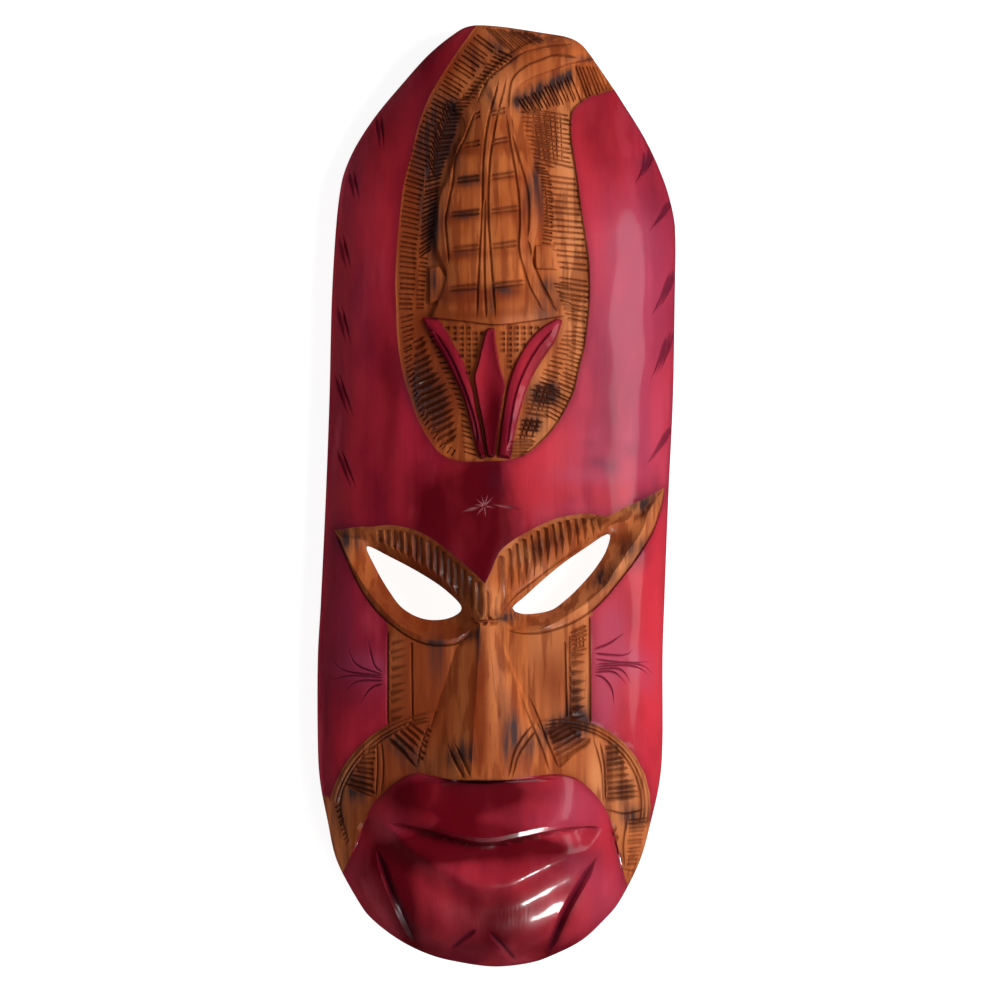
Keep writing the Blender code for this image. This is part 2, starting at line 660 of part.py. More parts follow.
def open_loops(faces):
    """The loops of edges that have a face on one side only, the longest first."""
    edges = {(a, b) for face in faces for a, b in zip(face, np.roll(face, -1))}
    follows = {a: b for a, b in edges if (b, a) not in edges}
    loops = []
    while follows:
        loop = [min(follows)]
        while loop[-1] in follows:
            loop.append(follows.pop(loop[-1]))
        loops.append(loop[:-1])
    return sorted(loops, key=len, reverse=True)


def carved_mask():
    shape_lines = [ring(OUTLINE), ring(LEFT_EYE), ring(RIGHT_EYE)]
    form_lines = [
        ring(inset_loop(OUTLINE, 0.002)), ring(inset_loop(OUTLINE, 0.007)), KEEL, BROW, BAND_FOOT,
        LEFT_LID, RIGHT_LID,
        NOSE_LEFT_FOOT, NOSE_LEFT_EDGE, NOSE_RIGHT_EDGE, NOSE_RIGHT_FOOT,
        NOSE_BASE, NOSE_BASE - (0, NOSE_BASE_FALL),
        MUZZLE, inset(MUZZLE, -STEP_SLOPE), UPPER_LIP, inset(UPPER_LIP, -0.0025), LOWER_LIP,
        LEFT_PANEL, inset(LEFT_PANEL, STEP_SLOPE), RIGHT_PANEL, inset(RIGHT_PANEL, STEP_SLOPE),
    ]
    for loop, _, _ in RELIEF:
        form_lines += [ring(loop), ring(inset_loop(loop, STEP_SLOPE))]
    for made in CUTS:
        form_lines += edges_of_cut(*made)
    lines = shape_lines + form_lines
    loose = np.concatenate([spread(FACE_STEP, -0.5, 0.02), spread(FOREHEAD_STEP, 0.02, 0.5)])
    loose = clear_of(loose, lines, 0.6 * FACE_STEP)
    front, front_faces, _ = sheet(lines, loose, OUTLINE, [LEFT_EYE, RIGHT_EYE])

    loops = open_loops(front_faces)
    back_lines = [ring(front[loop]) for loop in loops]
    rim_numbers = [i for loop in loops for i in loop + loop[:1]]
    back_lines += [ring(inset_loop(OUTLINE, RIM_LAND)), ring(inset_loop(OUTLINE, RIM_LAND * 1.5))]
    loose = clear_of(spread(BACK_STEP, -0.5, 0.5), back_lines, 0.5 * BACK_STEP)
    back, back_faces, sources = sheet(back_lines, loose, front[loops[0]], [front[loop] for loop in loops[1:]])
    behind = {rim_numbers[i]: made for made, given in enumerate(sources) for i in given if i < len(rim_numbers)}

    used, used_back = np.unique(front_faces), np.unique(back_faces)
    number = {old: new for new, old in enumerate(used)}
    number_back = {old: new + len(used) for new, old in enumerate(used_back)}
    top = np.column_stack([front[used], front_height(front[used])])
    bottom = np.column_stack([back[used_back], back_height(back[used_back])])
    faces = [[number[i] for i in face] for face in front_faces]
    faces += [[number_back[i] for i in face[::-1]] for face in back_faces]
    for loop in loops:
        for a, b in zip(loop, loop[1:] + loop[:1]):
            faces.append([number[b], number[a], number_back[behind[a]], number_back[behind[b]]])
    mesh = bpy.data.meshes.new("mask")
    mesh.from_pydata(np.concatenate([top, bottom]).tolist(), [], faces)
    mesh.validate()
    return mesh


def stained_wood():
    material = bpy.data.materials.new("stained wood")
    material.use_nodes = True
    surface = material.node_tree.nodes["Principled BSDF"]
    surface.inputs["Base Color"].default_value = (0.30, 0.03, 0.05, 1)
    surface.inputs["Roughness"].default_value = 0.35
    surface.inputs["Metallic"].default_value = 0
    material.diffuse_color = surface.inputs["Base Color"].default_value
    return material


for old in list(bpy.data.objects):
    bpy.data.objects.remove(old, do_unlink=True)
mask = bpy.data.objects.new("mask", carved_mask())
bpy.context.scene.collection.objects.link(mask)
mask.data.materials.append(stained_wood())
mask.data.shade_smooth()
mask.data.set_sharp_from_angle(angle=np.radians(30))
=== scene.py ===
import bpy
import numpy as np
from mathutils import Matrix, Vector
from mathutils.geometry import delaunay_2d_cdt
from mathutils.kdtree import KDTree


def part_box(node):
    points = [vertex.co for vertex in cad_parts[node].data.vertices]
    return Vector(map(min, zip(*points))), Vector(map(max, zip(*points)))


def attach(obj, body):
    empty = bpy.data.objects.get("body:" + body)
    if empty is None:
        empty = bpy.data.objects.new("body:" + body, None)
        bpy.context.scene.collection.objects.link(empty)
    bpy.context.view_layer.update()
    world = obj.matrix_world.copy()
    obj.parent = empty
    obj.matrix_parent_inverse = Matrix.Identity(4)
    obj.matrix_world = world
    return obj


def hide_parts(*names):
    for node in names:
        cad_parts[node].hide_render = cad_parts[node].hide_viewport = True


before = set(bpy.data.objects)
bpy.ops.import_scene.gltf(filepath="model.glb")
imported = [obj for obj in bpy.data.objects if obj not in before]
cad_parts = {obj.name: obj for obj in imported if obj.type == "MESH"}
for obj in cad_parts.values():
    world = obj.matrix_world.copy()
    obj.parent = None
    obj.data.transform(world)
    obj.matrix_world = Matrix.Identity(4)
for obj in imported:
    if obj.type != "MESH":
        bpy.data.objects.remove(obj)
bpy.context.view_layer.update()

# The blank is half of a log of soft wood, split and rounded on its front, with a thin edge at the
# sides and a thick crown. The carving is drawn on a grid laid over it, 382 steps across and 1000
# steps along, with its zero in the middle; heights, depths and the widths of cuts are real sizes.
mask_low, mask_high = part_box("mask")
MASK_WIDTH = mask_high.x - mask_low.x
MASK_LENGTH = mask_high.y - mask_low.y
GRID_ACROSS, GRID_ALONG = 382, 1000
SIDE_EDGE, CROWN_EDGE = 0.012, 0.024
CROWN_START, CROWN_RUN = 0.36, 0.12
BLANK_RISE = 0.041
CROWN_FALL, FALL_START, FALL_RUN = 0.008, 0.22, 0.28
SHOULDER, ROUNDNESS = 0.080, 0.62
KEEL_RISE, KEEL_SPREAD, KEEL_SHARPNESS = 0.007, 0.045, 1.5
KEEL_FADE, FADE_START, FADE_RUN = 0.6, 0.1, 0.3
LINE_STEP = 0.0022
STEP_SLOPE = 0.0010


def on_grid(points):
    return np.array(points, float) * (MASK_WIDTH / GRID_ACROSS, MASK_LENGTH / GRID_ALONG)


def curve(points, closed=False):
    """A smooth line through grid points, with a point about every LINE_STEP."""
    knots = on_grid(points)
    if closed:
        before, after = knots[[-1]], knots[:2]
    else:
        before, after = 2 * knots[[0]] - knots[[1]], 2 * knots[[-1]] - knots[[-2]]
    knots = np.concatenate([before, knots, after])
    line = []
    for p, a, b, n in zip(knots, knots[1:], knots[2:], knots[3:]):
        count = max(1, round(np.linalg.norm(b - a) / LINE_STEP))
        for t in np.arange(count) / count:
            leave, arrive = (b - p) / 2, (n - a) / 2
            line.append(
                (2 * t**3 - 3 * t**2 + 1) * a + (t**3 - 2 * t**2 + t) * leave
                + (3 * t**2 - 2 * t**3) * b + (t**3 - t**2) * arrive
            )
    return np.array(line if closed else line + [knots[-2]])


def joined(*lines):
    """Lines that meet end to end, as one line with corners where they meet."""
    return np.concatenate([lines[0]] + [line[1:] for line in lines[1:]])


def ring(line):
    return np.concatenate([line, line[:1]])


def away(points, line):
    """How far each point is from a line."""
    nearest = np.full(len(points), np.inf)
    for start, run in zip(line, np.diff(line, axis=0)):
        offset = points - start
        along = np.clip(offset @ run / max(run @ run, 1e-18), 0, 1)
        nearest = np.minimum(nearest, np.hypot(*(offset - along[:, None] * run).T))
    return nearest


def within(points, loop):
    x, y = points.T
    odd = np.zeros(len(points), bool)
    for (ax, ay), (bx, by) in zip(loop, np.roll(loop, -1, axis=0)):
        if ay != by:
            odd ^= ((ay > y) != (by > y)) & (x < ax + (y - ay) / (by - ay) * (bx - ax))
    return odd


def depth_inside(points, loop):
    """How far each point is inside a loop, less than zero outside it."""
    return np.where(within(points, loop), 1, -1) * away(points, ring(loop))


def inset(line, gap):
    """The line moved to its left, which is inwards on a loop that runs counterclockwise."""
    run = np.gradient(line, axis=0)
    normal = np.stack([-run[:, 1], run[:, 0]], axis=1)
    return line + gap * normal / np.linalg.norm(normal, axis=1, keepdims=True)


def inset_loop(loop, gap):
    padded = np.concatenate([loop[-1:], loop, loop[:1]])
    area = np.cross(loop, np.roll(loop, -1, axis=0)).sum()
    return inset(padded, gap if area > 0 else -gap)[1:-1]


def ramp(t):
    return np.clip(t, 0, 1)


def smooth(t):
    t = ramp(t)
    return t * t * (3 - 2 * t)


def swell(t):
    """A round shoulder: steep at first and level at 1."""
    return 1 - (1 - ramp(t)) ** 2


def across(y, line):
    """Where a line that runs down the face lies at each height y."""
    return np.interp(-y, -line[:, 1], line[:, 0])


OUTLINE = curve([
    (-29, 499), (-49, 488), (-72, 469), (-96, 443), (-132, 400), (-157, 358), (-168, 315), (-175, 220),
    (-178, 103), (-182, -4), (-187, -110), (-190.4, -174), (-190.4, -259), (-188, -302), (-180, -344),
    (-170, -387), (-148, -429), (-132, -450), (-103, -472), (-72, -487), (-41, -495), (-2, -500),
    (36, -496), (62, -487), (91, -472), (115, -450), (132, -429), (153, -387), (165, -344), (174, -302),
    (177, -259), (177, -174), (179, -110), (183, -4), (188, 103), (190, 209), (190.7, 273), (188, 302),
    (178, 337), (159, 379), (132, 422), (118, 443), (101, 467), (89, 481), (75, 488), (52, 492),
    (1, 499.2),
], closed=True)
KEEL = curve([(4, 34), (2, -11), (0, -48), (-12, -92)])


def blank_height(points, from_edge):
    """The rounded blank, before anything is cut."""
    up = points[:, 1] / MASK_LENGTH
    edge = SIDE_EDGE + (CROWN_EDGE - SIDE_EDGE) * smooth((up - CROWN_START) / CROWN_RUN)
    top = SIDE_EDGE + BLANK_RISE - CROWN_FALL * smooth((up - FALL_START) / FALL_RUN)
    return edge + (top - edge) * swell(from_edge / SHOULDER) ** ROUNDNESS


def keel_height(points):
    """The ridge down the forehead, from the crown to the point between the brows."""
    x, y = points.T
    beside = np.abs(x - across(y, KEEL)) / KEEL_SPREAD
    fade = 1 - KEEL_FADE * smooth((y / MASK_LENGTH - FADE_START) / FADE_RUN)
    return KEEL_RISE * (1 - ramp(beside)) ** KEEL_SHARPNESS * fade


# The cuts are made with a V gouge and a skew chisel, straight into the shaped wood. Each is a line
# with a width and a depth that runs out at its head and its tail, and no two come out quite alike.
HEAD, TAIL = 0.16, 0.16
DARK_SPREAD = 1.5
STRAY = 0.18
LATE_START, EARLY_END = (-0.05, 0.06), (-0.05, 0.10)
PRESSURE = (-0.25, 0.15)
hand = np.random.default_rng(7)
cuts = []


def cut(points, width, depth, head=HEAD, tail=TAIL):
    """A cut along grid points. Two points make a straight cut."""
    if len(points) == 2:
        start, end = on_grid(points)
        stops = (0, head, 0.5 * (head + 1 - tail), 1 - tail, 1)
        line = np.array([start + (end - start) * stop for stop in stops])
    else:
        line = curve(points)
    return line, width, depth, head, tail


def share_along(line):
    """How far along a line each of its points is, from 0 to 1."""
    lengths = np.concatenate([[0], np.linalg.norm(np.diff(line, axis=0), axis=1).cumsum()])
    return lengths / lengths[-1]


def run_out(share, head, tail):
    """How much of a cut is left near its ends, where the tool enters and leaves the wood."""
    return ramp(np.minimum(share / head, (1 - share) / tail))


def edges_of_cut(line, width, depth, head, tail):
    """The bottom of a cut and its two edges."""
    half = width / 2 * run_out(share_along(line), head, tail)
    normal = inset(line, 1) - line
    return [line, line + normal * half[:, None], line - normal * half[:, None]]


def cut_depth(points, made):
    """How deep the cuts are at each point, and that as a share of the deepest part of the cut."""
    deepest, darkest = np.zeros(len(points)), np.zeros(len(points))
    for line, width, depth, head, tail in made:
        near = np.all((points > line.min(axis=0) - width) & (points < line.max(axis=0) + width), axis=1)
        near = np.flatnonzero(near)
        shares = share_along(line)
        nearest, share = np.full(len(near), np.inf), np.zeros(len(near))
        for i, run in enumerate(np.diff(line, axis=0)):
            offset = points[near] - line[i]
            along = np.clip(offset @ run / (run @ run), 0, 1)
            gap = np.hypot(*(offset - along[:, None] * run).T)
            closer = gap < nearest
            nearest = np.where(closer, gap, nearest)
            share = np.where(closer, shares[i] + along * (shares[i + 1] - shares[i]), share)
        fade = run_out(share, head, tail)
        sunk = fade * ramp(1 - nearest / np.maximum(width / 2 * fade, 1e-6))
        deepest[near] = np.maximum(deepest[near], depth * sunk)
        darkest[near] = np.maximum(darkest[near], ramp(DARK_SPREAD * sunk))
    return deepest, darkest


def at_share(guide, share):
    """The point at a share of the length of a guide line."""
    points = np.array(guide, float)
    shares = share_along(points)
    return np.array([np.interp(share, shares, points[:, 0]), np.interp(share, shares, points[:, 1])])


def hatch(starts, ends, count, width, depth, uneven=1.0, head=HEAD, tail=TAIL):
    """Cuts side by side, from one guide line to another, as uneven as a hand leaves them."""
    made = []
    for i in range(count):
        share = (i + 0.5 + hand.uniform(-STRAY, STRAY) * uneven) / count
        start, end = at_share(starts, share), at_share(ends, share)
        run = end - start
        start = start + run * hand.uniform(*LATE_START) * uneven
        end = end - run * hand.uniform(*EARLY_END) * uneven
        deeper = 1 + hand.uniform(*PRESSURE) * uneven
        made.append(cut([start, end], width * deeper, depth * deeper, head, tail))
    return made


# The dyed sides of the forehead and the cheeks are plain but for leaf-shaped gashes down both
# temples, a spray of thin cuts on each cheek and a small star between the brows. A gash is two or
# three cuts side by side, each with its own gap from the first and its own share of the width.
GASH_WIDTH, GASH_DEPTH = 0.0030, 0.0018
LEFT_GASH_CUTS = ((0, 1.2), (5, 0.7))
RIGHT_GASH_CUTS = ((-5, 0.8), (0, 1.3), (5, 0.7))
LEFT_GASH_ENDS, RIGHT_GASH_ENDS = (0.3, 0.5), (0.25, 0.5)
WHISKER = (0.0016, 0.0010, 0.1, 0.5)
STAR_RAY = (0.0012, 0.0007, 0.2, 0.6)
STAR_LEAF = (0.0024, 0.0010, 0.5, 0.4)
LEFT_GASHES = [
    [(-128, 408), (-124, 368)], [(-157, 347), (-150, 313)], [(-168, 279), (-159, 240)],
    [(-169, 203), (-159, 160)], [(-172, 131), (-156, 82)], [(-170, 52), (-153, 6)],
]
RIGHT_GASHES = [
    [(162, 372), (160, 354), (152, 336)], [(186, 320), (179, 303), (166, 285)],
    [(190, 246), (182, 222), (169, 195)],
    [(187, 180), (179, 154), (168, 126)], [(187, 79), (177, 58), (163, 37)],
]
WHISKERS = [
    [(-120, -186), (-130, -178), (-138, -145)], [(-120, -189), (-149, -178), (-159, -156)],
    [(-120, -190), (-163, -184), (-177, -166)], [(-120, -192), (-155, -190), (-180, -196)],
    [(-120, -195), (-148, -196), (-164, -210)], [(-120, -198), (-134, -203), (-146, -221)],
    [(103, -162), (120, -155), (136, -144)], [(103, -166), (135, -168), (147, -160)],
    [(103, -172), (134, -176), (168, -175)], [(103, -178), (138, -176), (160, -182), (168, -196)],
    [(103, -183), (126, -182), (136, -187), (144, -200)],
    [(103, -189), (113, -192), (122, -204), (125, -222)],
    [(103, -180), (140, -179), (158, -186), (166, -198)], [(103, -186), (124, -186), (140, -200)],
]
STAR = (-12, -10)
STAR_RAYS = [(-4, 13), (11, 12), (-13, 2), (-10, -11), (1, -13), (13, -2), (4, 15), (-11, 9)]
STAR_LEAVES = [[(-38, -17), (-15, -10)], [(-6, -8), (28, -14)]]

for line in LEFT_GASHES:
    for gap, share in LEFT_GASH_CUTS:
        beside = [(x + gap, y) for x, y in line]
        cuts.append(cut(beside, GASH_WIDTH * share, GASH_DEPTH, *LEFT_GASH_ENDS))
for line in RIGHT_GASHES:
    for gap, share in RIGHT_GASH_CUTS:
        beside = [(x + gap, y + gap) for x, y in line]
        cuts.append(cut(beside, GASH_WIDTH * share, GASH_DEPTH, *RIGHT_GASH_ENDS))
cuts += [cut(line, *WHISKER) for line in WHISKERS]
cuts += [cut([STAR, (STAR[0] + x, STAR[1] + y)], *STAR_RAY) for x, y in STAR_RAYS]
cuts += [cut(leaf, *STAR_LEAF) for leaf in STAR_LEAVES]


# The back is hollowed with a wide gouge, down to an even wall, and keeps a flat ring that the mask
# lies on. The gouge leaves short, shallow scallops in rows along the hollow.
RIM_LAND = 0.012
HOLLOW_DEPTH, HOLLOW_SHOULDER = 0.030, 0.055
WALL = 0.008
LAND_SLACK = 0.0003
SCALLOP_LENGTH, SCALLOP_WIDTH, SCALLOP_DEPTH = 0.026, 0.011, 0.0007
SCALLOP_STAGGER = 0.37
SCALLOP_WANDER, WANDER_TURN = 0.2, 2.3
SCALLOP_END = 0.6
MARKS_START, MARKS_RUN = 0.002, 0.012


def scallops(points):
    """The gouge's marks: short round troughs in staggered rows."""
    x, y = points.T
    row = np.floor(x / SCALLOP_WIDTH)
    across_row = (x / SCALLOP_WIDTH - row) * 2 - 1
    start = y / SCALLOP_LENGTH + SCALLOP_STAGGER * row + SCALLOP_WANDER * np.sin(WANDER_TURN * row)
    along_cut = (start - np.floor(start)) * 2 - 1
    return SCALLOP_DEPTH * (1 - across_row**2) * (1 - SCALLOP_END * along_cut**2)


def hollow_height(points, from_edge, front):
    """The back: flat at its ring, then up into the hollow, a wall's thickness under the front."""
    inward = from_edge - RIM_LAND
    hollow = HOLLOW_DEPTH * swell((inward - LAND_SLACK) / HOLLOW_SHOULDER)
    marks = scallops(points) * smooth((inward - MARKS_START) / MARKS_RUN)
    return np.clip(np.minimum(hollow, front - WALL) - marks, 0, None)


# The face is set back under the brows. The eyes are slanted slots with a bevelled socket round
# each, a raised rim under it, and over it a brow band with a row of upright flutes.
FACE_SET_BACK, SET_BACK_RUN = 0.005, 0.035
BROW_STEP = 0.006
BROW_DROP, TIP_LENGTH = 0.008, 0.025
EYE_DEPTH = 0.011
RIM_RISE, RIM_ROUND = 0.0014, 0.0010
BRIDGE_HALF_WIDTH = 0.0085
LEFT_FLUTES, RIGHT_FLUTES = np.linspace(-124, -19, 15), np.linspace(4, 106, 14)
LEFT_FLUTE, RIGHT_FLUTE = (0.00408, 0.00242, 0.05, 0.25), (0.00493, 0.00286, 0.04, 0.55)
FLUTE_GAP, SHORTEST_FLUTE = 4, 5
RIM_CUT = (0.0016, 0.0012, 0.05, 0.1)
LEFT_BROW = curve([
    (-172, -36), (-147, -32), (-132, -32), (-113, -30), (-90, -34), (-76, -40), (-63, -48), (-50, -58),
    (-37, -69), (-24, -80), (-12, -92),
])
RIGHT_BROW = curve([
    (-12, -92), (-5, -77), (3, -59), (16, -47), (31, -38), (48, -29), (63, -23), (76, -20), (93, -18),
    (105, -19), (116, -21),
    (124, -18), (137, -11), (159, -1), (179, 10),
])
BROW = joined(LEFT_BROW, RIGHT_BROW)
BELOW_BROW = np.concatenate([on_grid([(-220, -40)]), BROW, on_grid([(220, 30), (220, -560), (-220, -560)])])
LEFT_BAND = curve([(-164, -43), (-138, -47), (-107, -61), (-81, -76), (-54, -95), (-36, -113), (-22, -131)])
RIGHT_BAND = curve([
    (4, -129), (11, -114), (19, -103), (36, -88), (53, -75), (70, -63), (89, -52), (106, -41), (122, -30),
    (141, -25), (159, -16),
])
BAND_FOOT = np.concatenate([BROW[:1], LEFT_BAND, RIGHT_BAND, BROW[-1:]])
BAND = np.concatenate([BROW, BAND_FOOT[-2:0:-1]])
LEFT_EYE = curve([
    (-138, -53), (-113, -64), (-81, -81), (-54, -99), (-37, -118), (-51, -129), (-76, -130), (-99, -119),
    (-115, -99), (-129, -75),
], closed=True)
RIGHT_EYE = curve([
    (17, -118), (31, -105), (52, -86), (73, -69), (95, -54), (113, -42), (121, -41), (116, -59),
    (103, -79), (86, -98), (73, -110),
    (59, -120), (41, -124), (26, -124),
], closed=True)
LEFT_LID = curve([
    (-22, -132), (-38, -145), (-65, -149), (-97, -137), (-120, -116), (-143, -86), (-157, -60), (-164, -43),
])
RIGHT_LID = curve([
    (159, -16), (154, -32), (146, -46), (137, -57), (131, -68), (122, -80), (115, -92), (97, -109),
    (74, -124), (52, -136), (30, -142), (11, -140),
    (4, -129),
])
LEFT_SOCKET = joined(LEFT_BAND, LEFT_LID)[:-1]
RIGHT_SOCKET = joined(RIGHT_BAND, RIGHT_LID)[:-1]
LEFT_RIM = curve([
    (-172, -36), (-160, -63), (-147, -92), (-133, -114), (-118, -130), (-94, -148), (-71, -157), (-44, -156),
    (-28, -146),
])
RIGHT_RIM = curve([
    (179, 10), (176, -7), (167, -34), (159, -49), (145, -70), (129, -90), (115, -107), (100, -121),
    (79, -134), (53, -143), (28, -145), (9, -141),
])


def band_height(points, forehead, low_face, bridge, tips):
    """The brow bands, which fall from the forehead to the sockets."""
    band_foot = low_face - BROW_DROP * tips * (1 - bridge) + NOSE_TOP_RISE * bridge
    from_brow, from_foot = away(points, BROW), away(points, BAND_FOOT)
    return forehead + (band_foot - forehead) * from_brow / (from_brow + from_foot + 1e-9)


def rim_height(points):
    """The raised rims under the sockets."""
    rise = np.zeros(len(points))
    for lid, rim in ((LEFT_LID, LEFT_RIM), (RIGHT_LID[::-1], RIGHT_RIM)):
        inside = within(points, np.concatenate([lid, rim]))
        from_lid, from_rim = away(points, lid), away(points, rim)
        rounded = np.minimum(ramp(from_lid / RIM_ROUND), ramp(from_rim / (2 * RIM_ROUND)))
        rise += RIM_RISE * inside * rounded
    return rise


def socket_height(points, low_face, bridge, tips):
    """The bevels round the eyes, as a height for points in a socket and nothing elsewhere."""
    height = np.full(len(points), np.nan)
    for socket, upper, lower, eye in (
        (LEFT_SOCKET, LEFT_BAND, LEFT_LID, LEFT_EYE), (RIGHT_SOCKET, RIGHT_BAND, RIGHT_LID, RIGHT_EYE),
    ):
        from_upper, from_lower, from_eye = away(points, upper), away(points, lower), away(points, ring(eye))
        from_side = np.minimum(from_upper, from_lower)
        upper_share = from_lower / (from_upper + from_lower + 1e-9)
        side = low_face - BROW_DROP * tips * (1 - bridge) * upper_share
        floor = low_face - EYE_DEPTH * tips
        bevel = side + (np.minimum(floor, side) - side) * from_side / (from_side + from_eye + 1e-9)
        height = np.where(within(points, socket), bevel, height)
    return height


def grid_height(line, x):
    """How high a line that runs across the face is at x, all in steps of the grid."""
    return np.interp(x, line[:, 0] * GRID_ACROSS / MASK_WIDTH, line[:, 1]) * GRID_ALONG / MASK_LENGTH


for flutes, brow, band, reach, foot_gap, lean, flute in (
    (LEFT_FLUTES, LEFT_BROW, LEFT_BAND, 0, 2, 1, LEFT_FLUTE),
    (RIGHT_FLUTES, RIGHT_BROW, RIGHT_BAND, 5, -1, 4, RIGHT_FLUTE),
):
    for x in flutes:
        top, foot = grid_height(brow, x) - FLUTE_GAP, grid_height(band, x + reach) + foot_gap
        if top - foot > SHORTEST_FLUTE:
            x += hand.uniform(-1, 1)
            cuts.append(cut([(x, top), (x + lean, foot)], *flute))
cuts += [(LEFT_RIM, *RIM_CUT), (RIGHT_RIM, *RIM_CUT)]
cuts.append(cut([(7, -123), (19, -106), (39, -90), (64, -71), (91, -53)], 0.0014, 0.0010))


# The nose is a long wedge, planed flat in front, with two slanting nostril cuts at its left foot and
# a thin edge left standing where its right side meets the cheek.
NOSE_TOP_RISE = 0.006
NOSE_TIP_RISE = 0.019
NOSE_BASE_FALL = 0.0016
NOSE_FOOT_FADE = 0.004
NOSE_ROUNDNESS = 0.7
NOSE_LEFT_FOOT = on_grid([(-24, -134), (-30, -146), (-43, -160), (-83, -286), (-86, -298)])
NOSE_LEFT_EDGE = on_grid([(-17, -134), (-27, -298)])
NOSE_RIGHT_EDGE = on_grid([(-9, -134), (9, -298)])
NOSE_RIGHT_FOOT = on_grid([(3, -131), (6, -150), (14, -172), (29, -206), (47, -248), (61, -289), (64, -298)])
NOSE_BASE = on_grid([(-86, -298), (-27, -298), (9, -298), (64, -298)])


def nose_height(points):
    """A long wedge with a flat front, low at the bridge and high over the lip."""
    x, y = points.T
    top, base = NOSE_LEFT_EDGE[0, 1], NOSE_LEFT_EDGE[1, 1]
    rise = NOSE_TOP_RISE + (NOSE_TIP_RISE - NOSE_TOP_RISE) * ramp((top - y) / (top - base))
    left_foot, left_edge = across(y, NOSE_LEFT_FOOT), across(y, NOSE_LEFT_EDGE)
    right_edge, right_foot = across(y, NOSE_RIGHT_EDGE), across(y, NOSE_RIGHT_FOOT)
    left = ramp((x - left_foot) / (left_edge - left_foot))
    right = swell((right_foot - x) / (right_foot - right_edge) * NOSE_ROUNDNESS)
    ends = (y < top) * ramp((y - base) / NOSE_BASE_FALL + 1)
    return rise * np.minimum(left, right) * ends


cuts += [
    cut([(-53, -259), (-43, -280), (-33, -298)], 0.0030, 0.0016, 0.4, 0.1),
    cut([(-46, -257), (-35, -278), (-27, -296)], 0.0026, 0.0014, 0.4, 0.1),
    cut([(22, -202), (35, -235), (47, -264), (56, -291)], 0.0018, 0.0010, 0.3, 0.1),
    cut([(31, -204), (44, -234), (55, -263), (66, -289)], 0.0018, 0.0010, 0.3, 0.1),
    cut([(-16, -99), (-16, -130)], 0.0022, 0.0012), cut([(-10, -97), (-9, -131)], 0.0026, 0.0014),
    cut([(0, -103), (-1, -129)], 0.0022, 0.0012), cut([(7, -99), (5, -123)], 0.0022, 0.0012),
]


# The cheeks: a round disc stands beside the nose on each side, bordered by a double line and cut in
# triangles and hatched blocks, and a ladder of short deep cuts stands over it.
CHEEK_DISC_RISE, DISC_STEP, DISC_DOME = 0.0025, 0.6, 0.03
BORDER = (0.0018, 0.0011)
DISC_BORDER = (0.0018, 0.0011, 0.04, 0.06)
LADDER_BORDER = (0.0018, 0.0011, 0.03, 0.03)
LEFT_DISC, RIGHT_DISC = on_grid([(-54, -352), (68, -329)])
LEFT_RADIUS, RIGHT_RADIUS = 0.0633, 0.0480


def disc_height(points):
    """The round cheeks beside the nose, a step higher than the rest of the face."""
    rise = np.zeros(len(points))
    for centre, radius in ((LEFT_DISC, LEFT_RADIUS), (RIGHT_DISC, RIGHT_RADIUS)):
        inside = radius - np.linalg.norm(points - centre, axis=1)
        domed = DISC_STEP * ramp(inside / STEP_SLOPE) + (1 - DISC_STEP) * smooth(inside / DISC_DOME)
        rise = np.maximum(rise, CHEEK_DISC_RISE * domed)
    return rise


def arc(centre, radius, first, last):
    """Part of a circle, between two angles in degrees, as grid points."""
    angles = np.radians(np.linspace(first, last, 12))
    rim = centre + radius * np.stack([np.cos(angles), np.sin(angles)], axis=1)
    return rim * (GRID_ACROSS / MASK_WIDTH, GRID_ALONG / MASK_LENGTH)


for gap in (0.0012, 0.0034, 0.0052):
    cuts.append(cut(arc(LEFT_DISC, LEFT_RADIUS - gap, 168, 98), *DISC_BORDER))
    cuts.append(cut(arc(RIGHT_DISC, RIGHT_RADIUS - gap, 102, -16), *DISC_BORDER))
for row in (
    ([(41, -238), (28, -253), (18, -271), (12, -298)], *BORDER),
    ([(44, -244), (32, -259), (22, -275), (16, -298)], *BORDER),
    ([(100, -255), (81, -270), (64, -287)], 0.0030, 0.0014, 0.1, 0.1),
    ([(103, -257), (111, -291), (113, -326)], *BORDER),
    ([(109, -257), (114, -289), (115, -326)], *BORDER),
    ([(115, -331), (136, -336), (159, -331)], *BORDER),
    ([(139, -339), (134, -369), (136, -395)], *BORDER),
    ([(134, -395), (149, -399)], *BORDER),
    ([(-118, -254), (-101, -270), (-84, -287)], 0.0026, 0.0013),
    ([(-71, -240), (-80, -264), (-84, -286)], *BORDER),
    ([(-127, -256), (-126, -286), (-128, -320)], *BORDER),
    ([(-122, -256), (-120, -286), (-122, -318)], *BORDER),
    ([(-164, -302), (-147, -312), (-129, -318)], *BORDER),
    ([(-163, -305), (-165, -334), (-156, -368)], *BORDER),
):
    cuts.append(cut(*row))

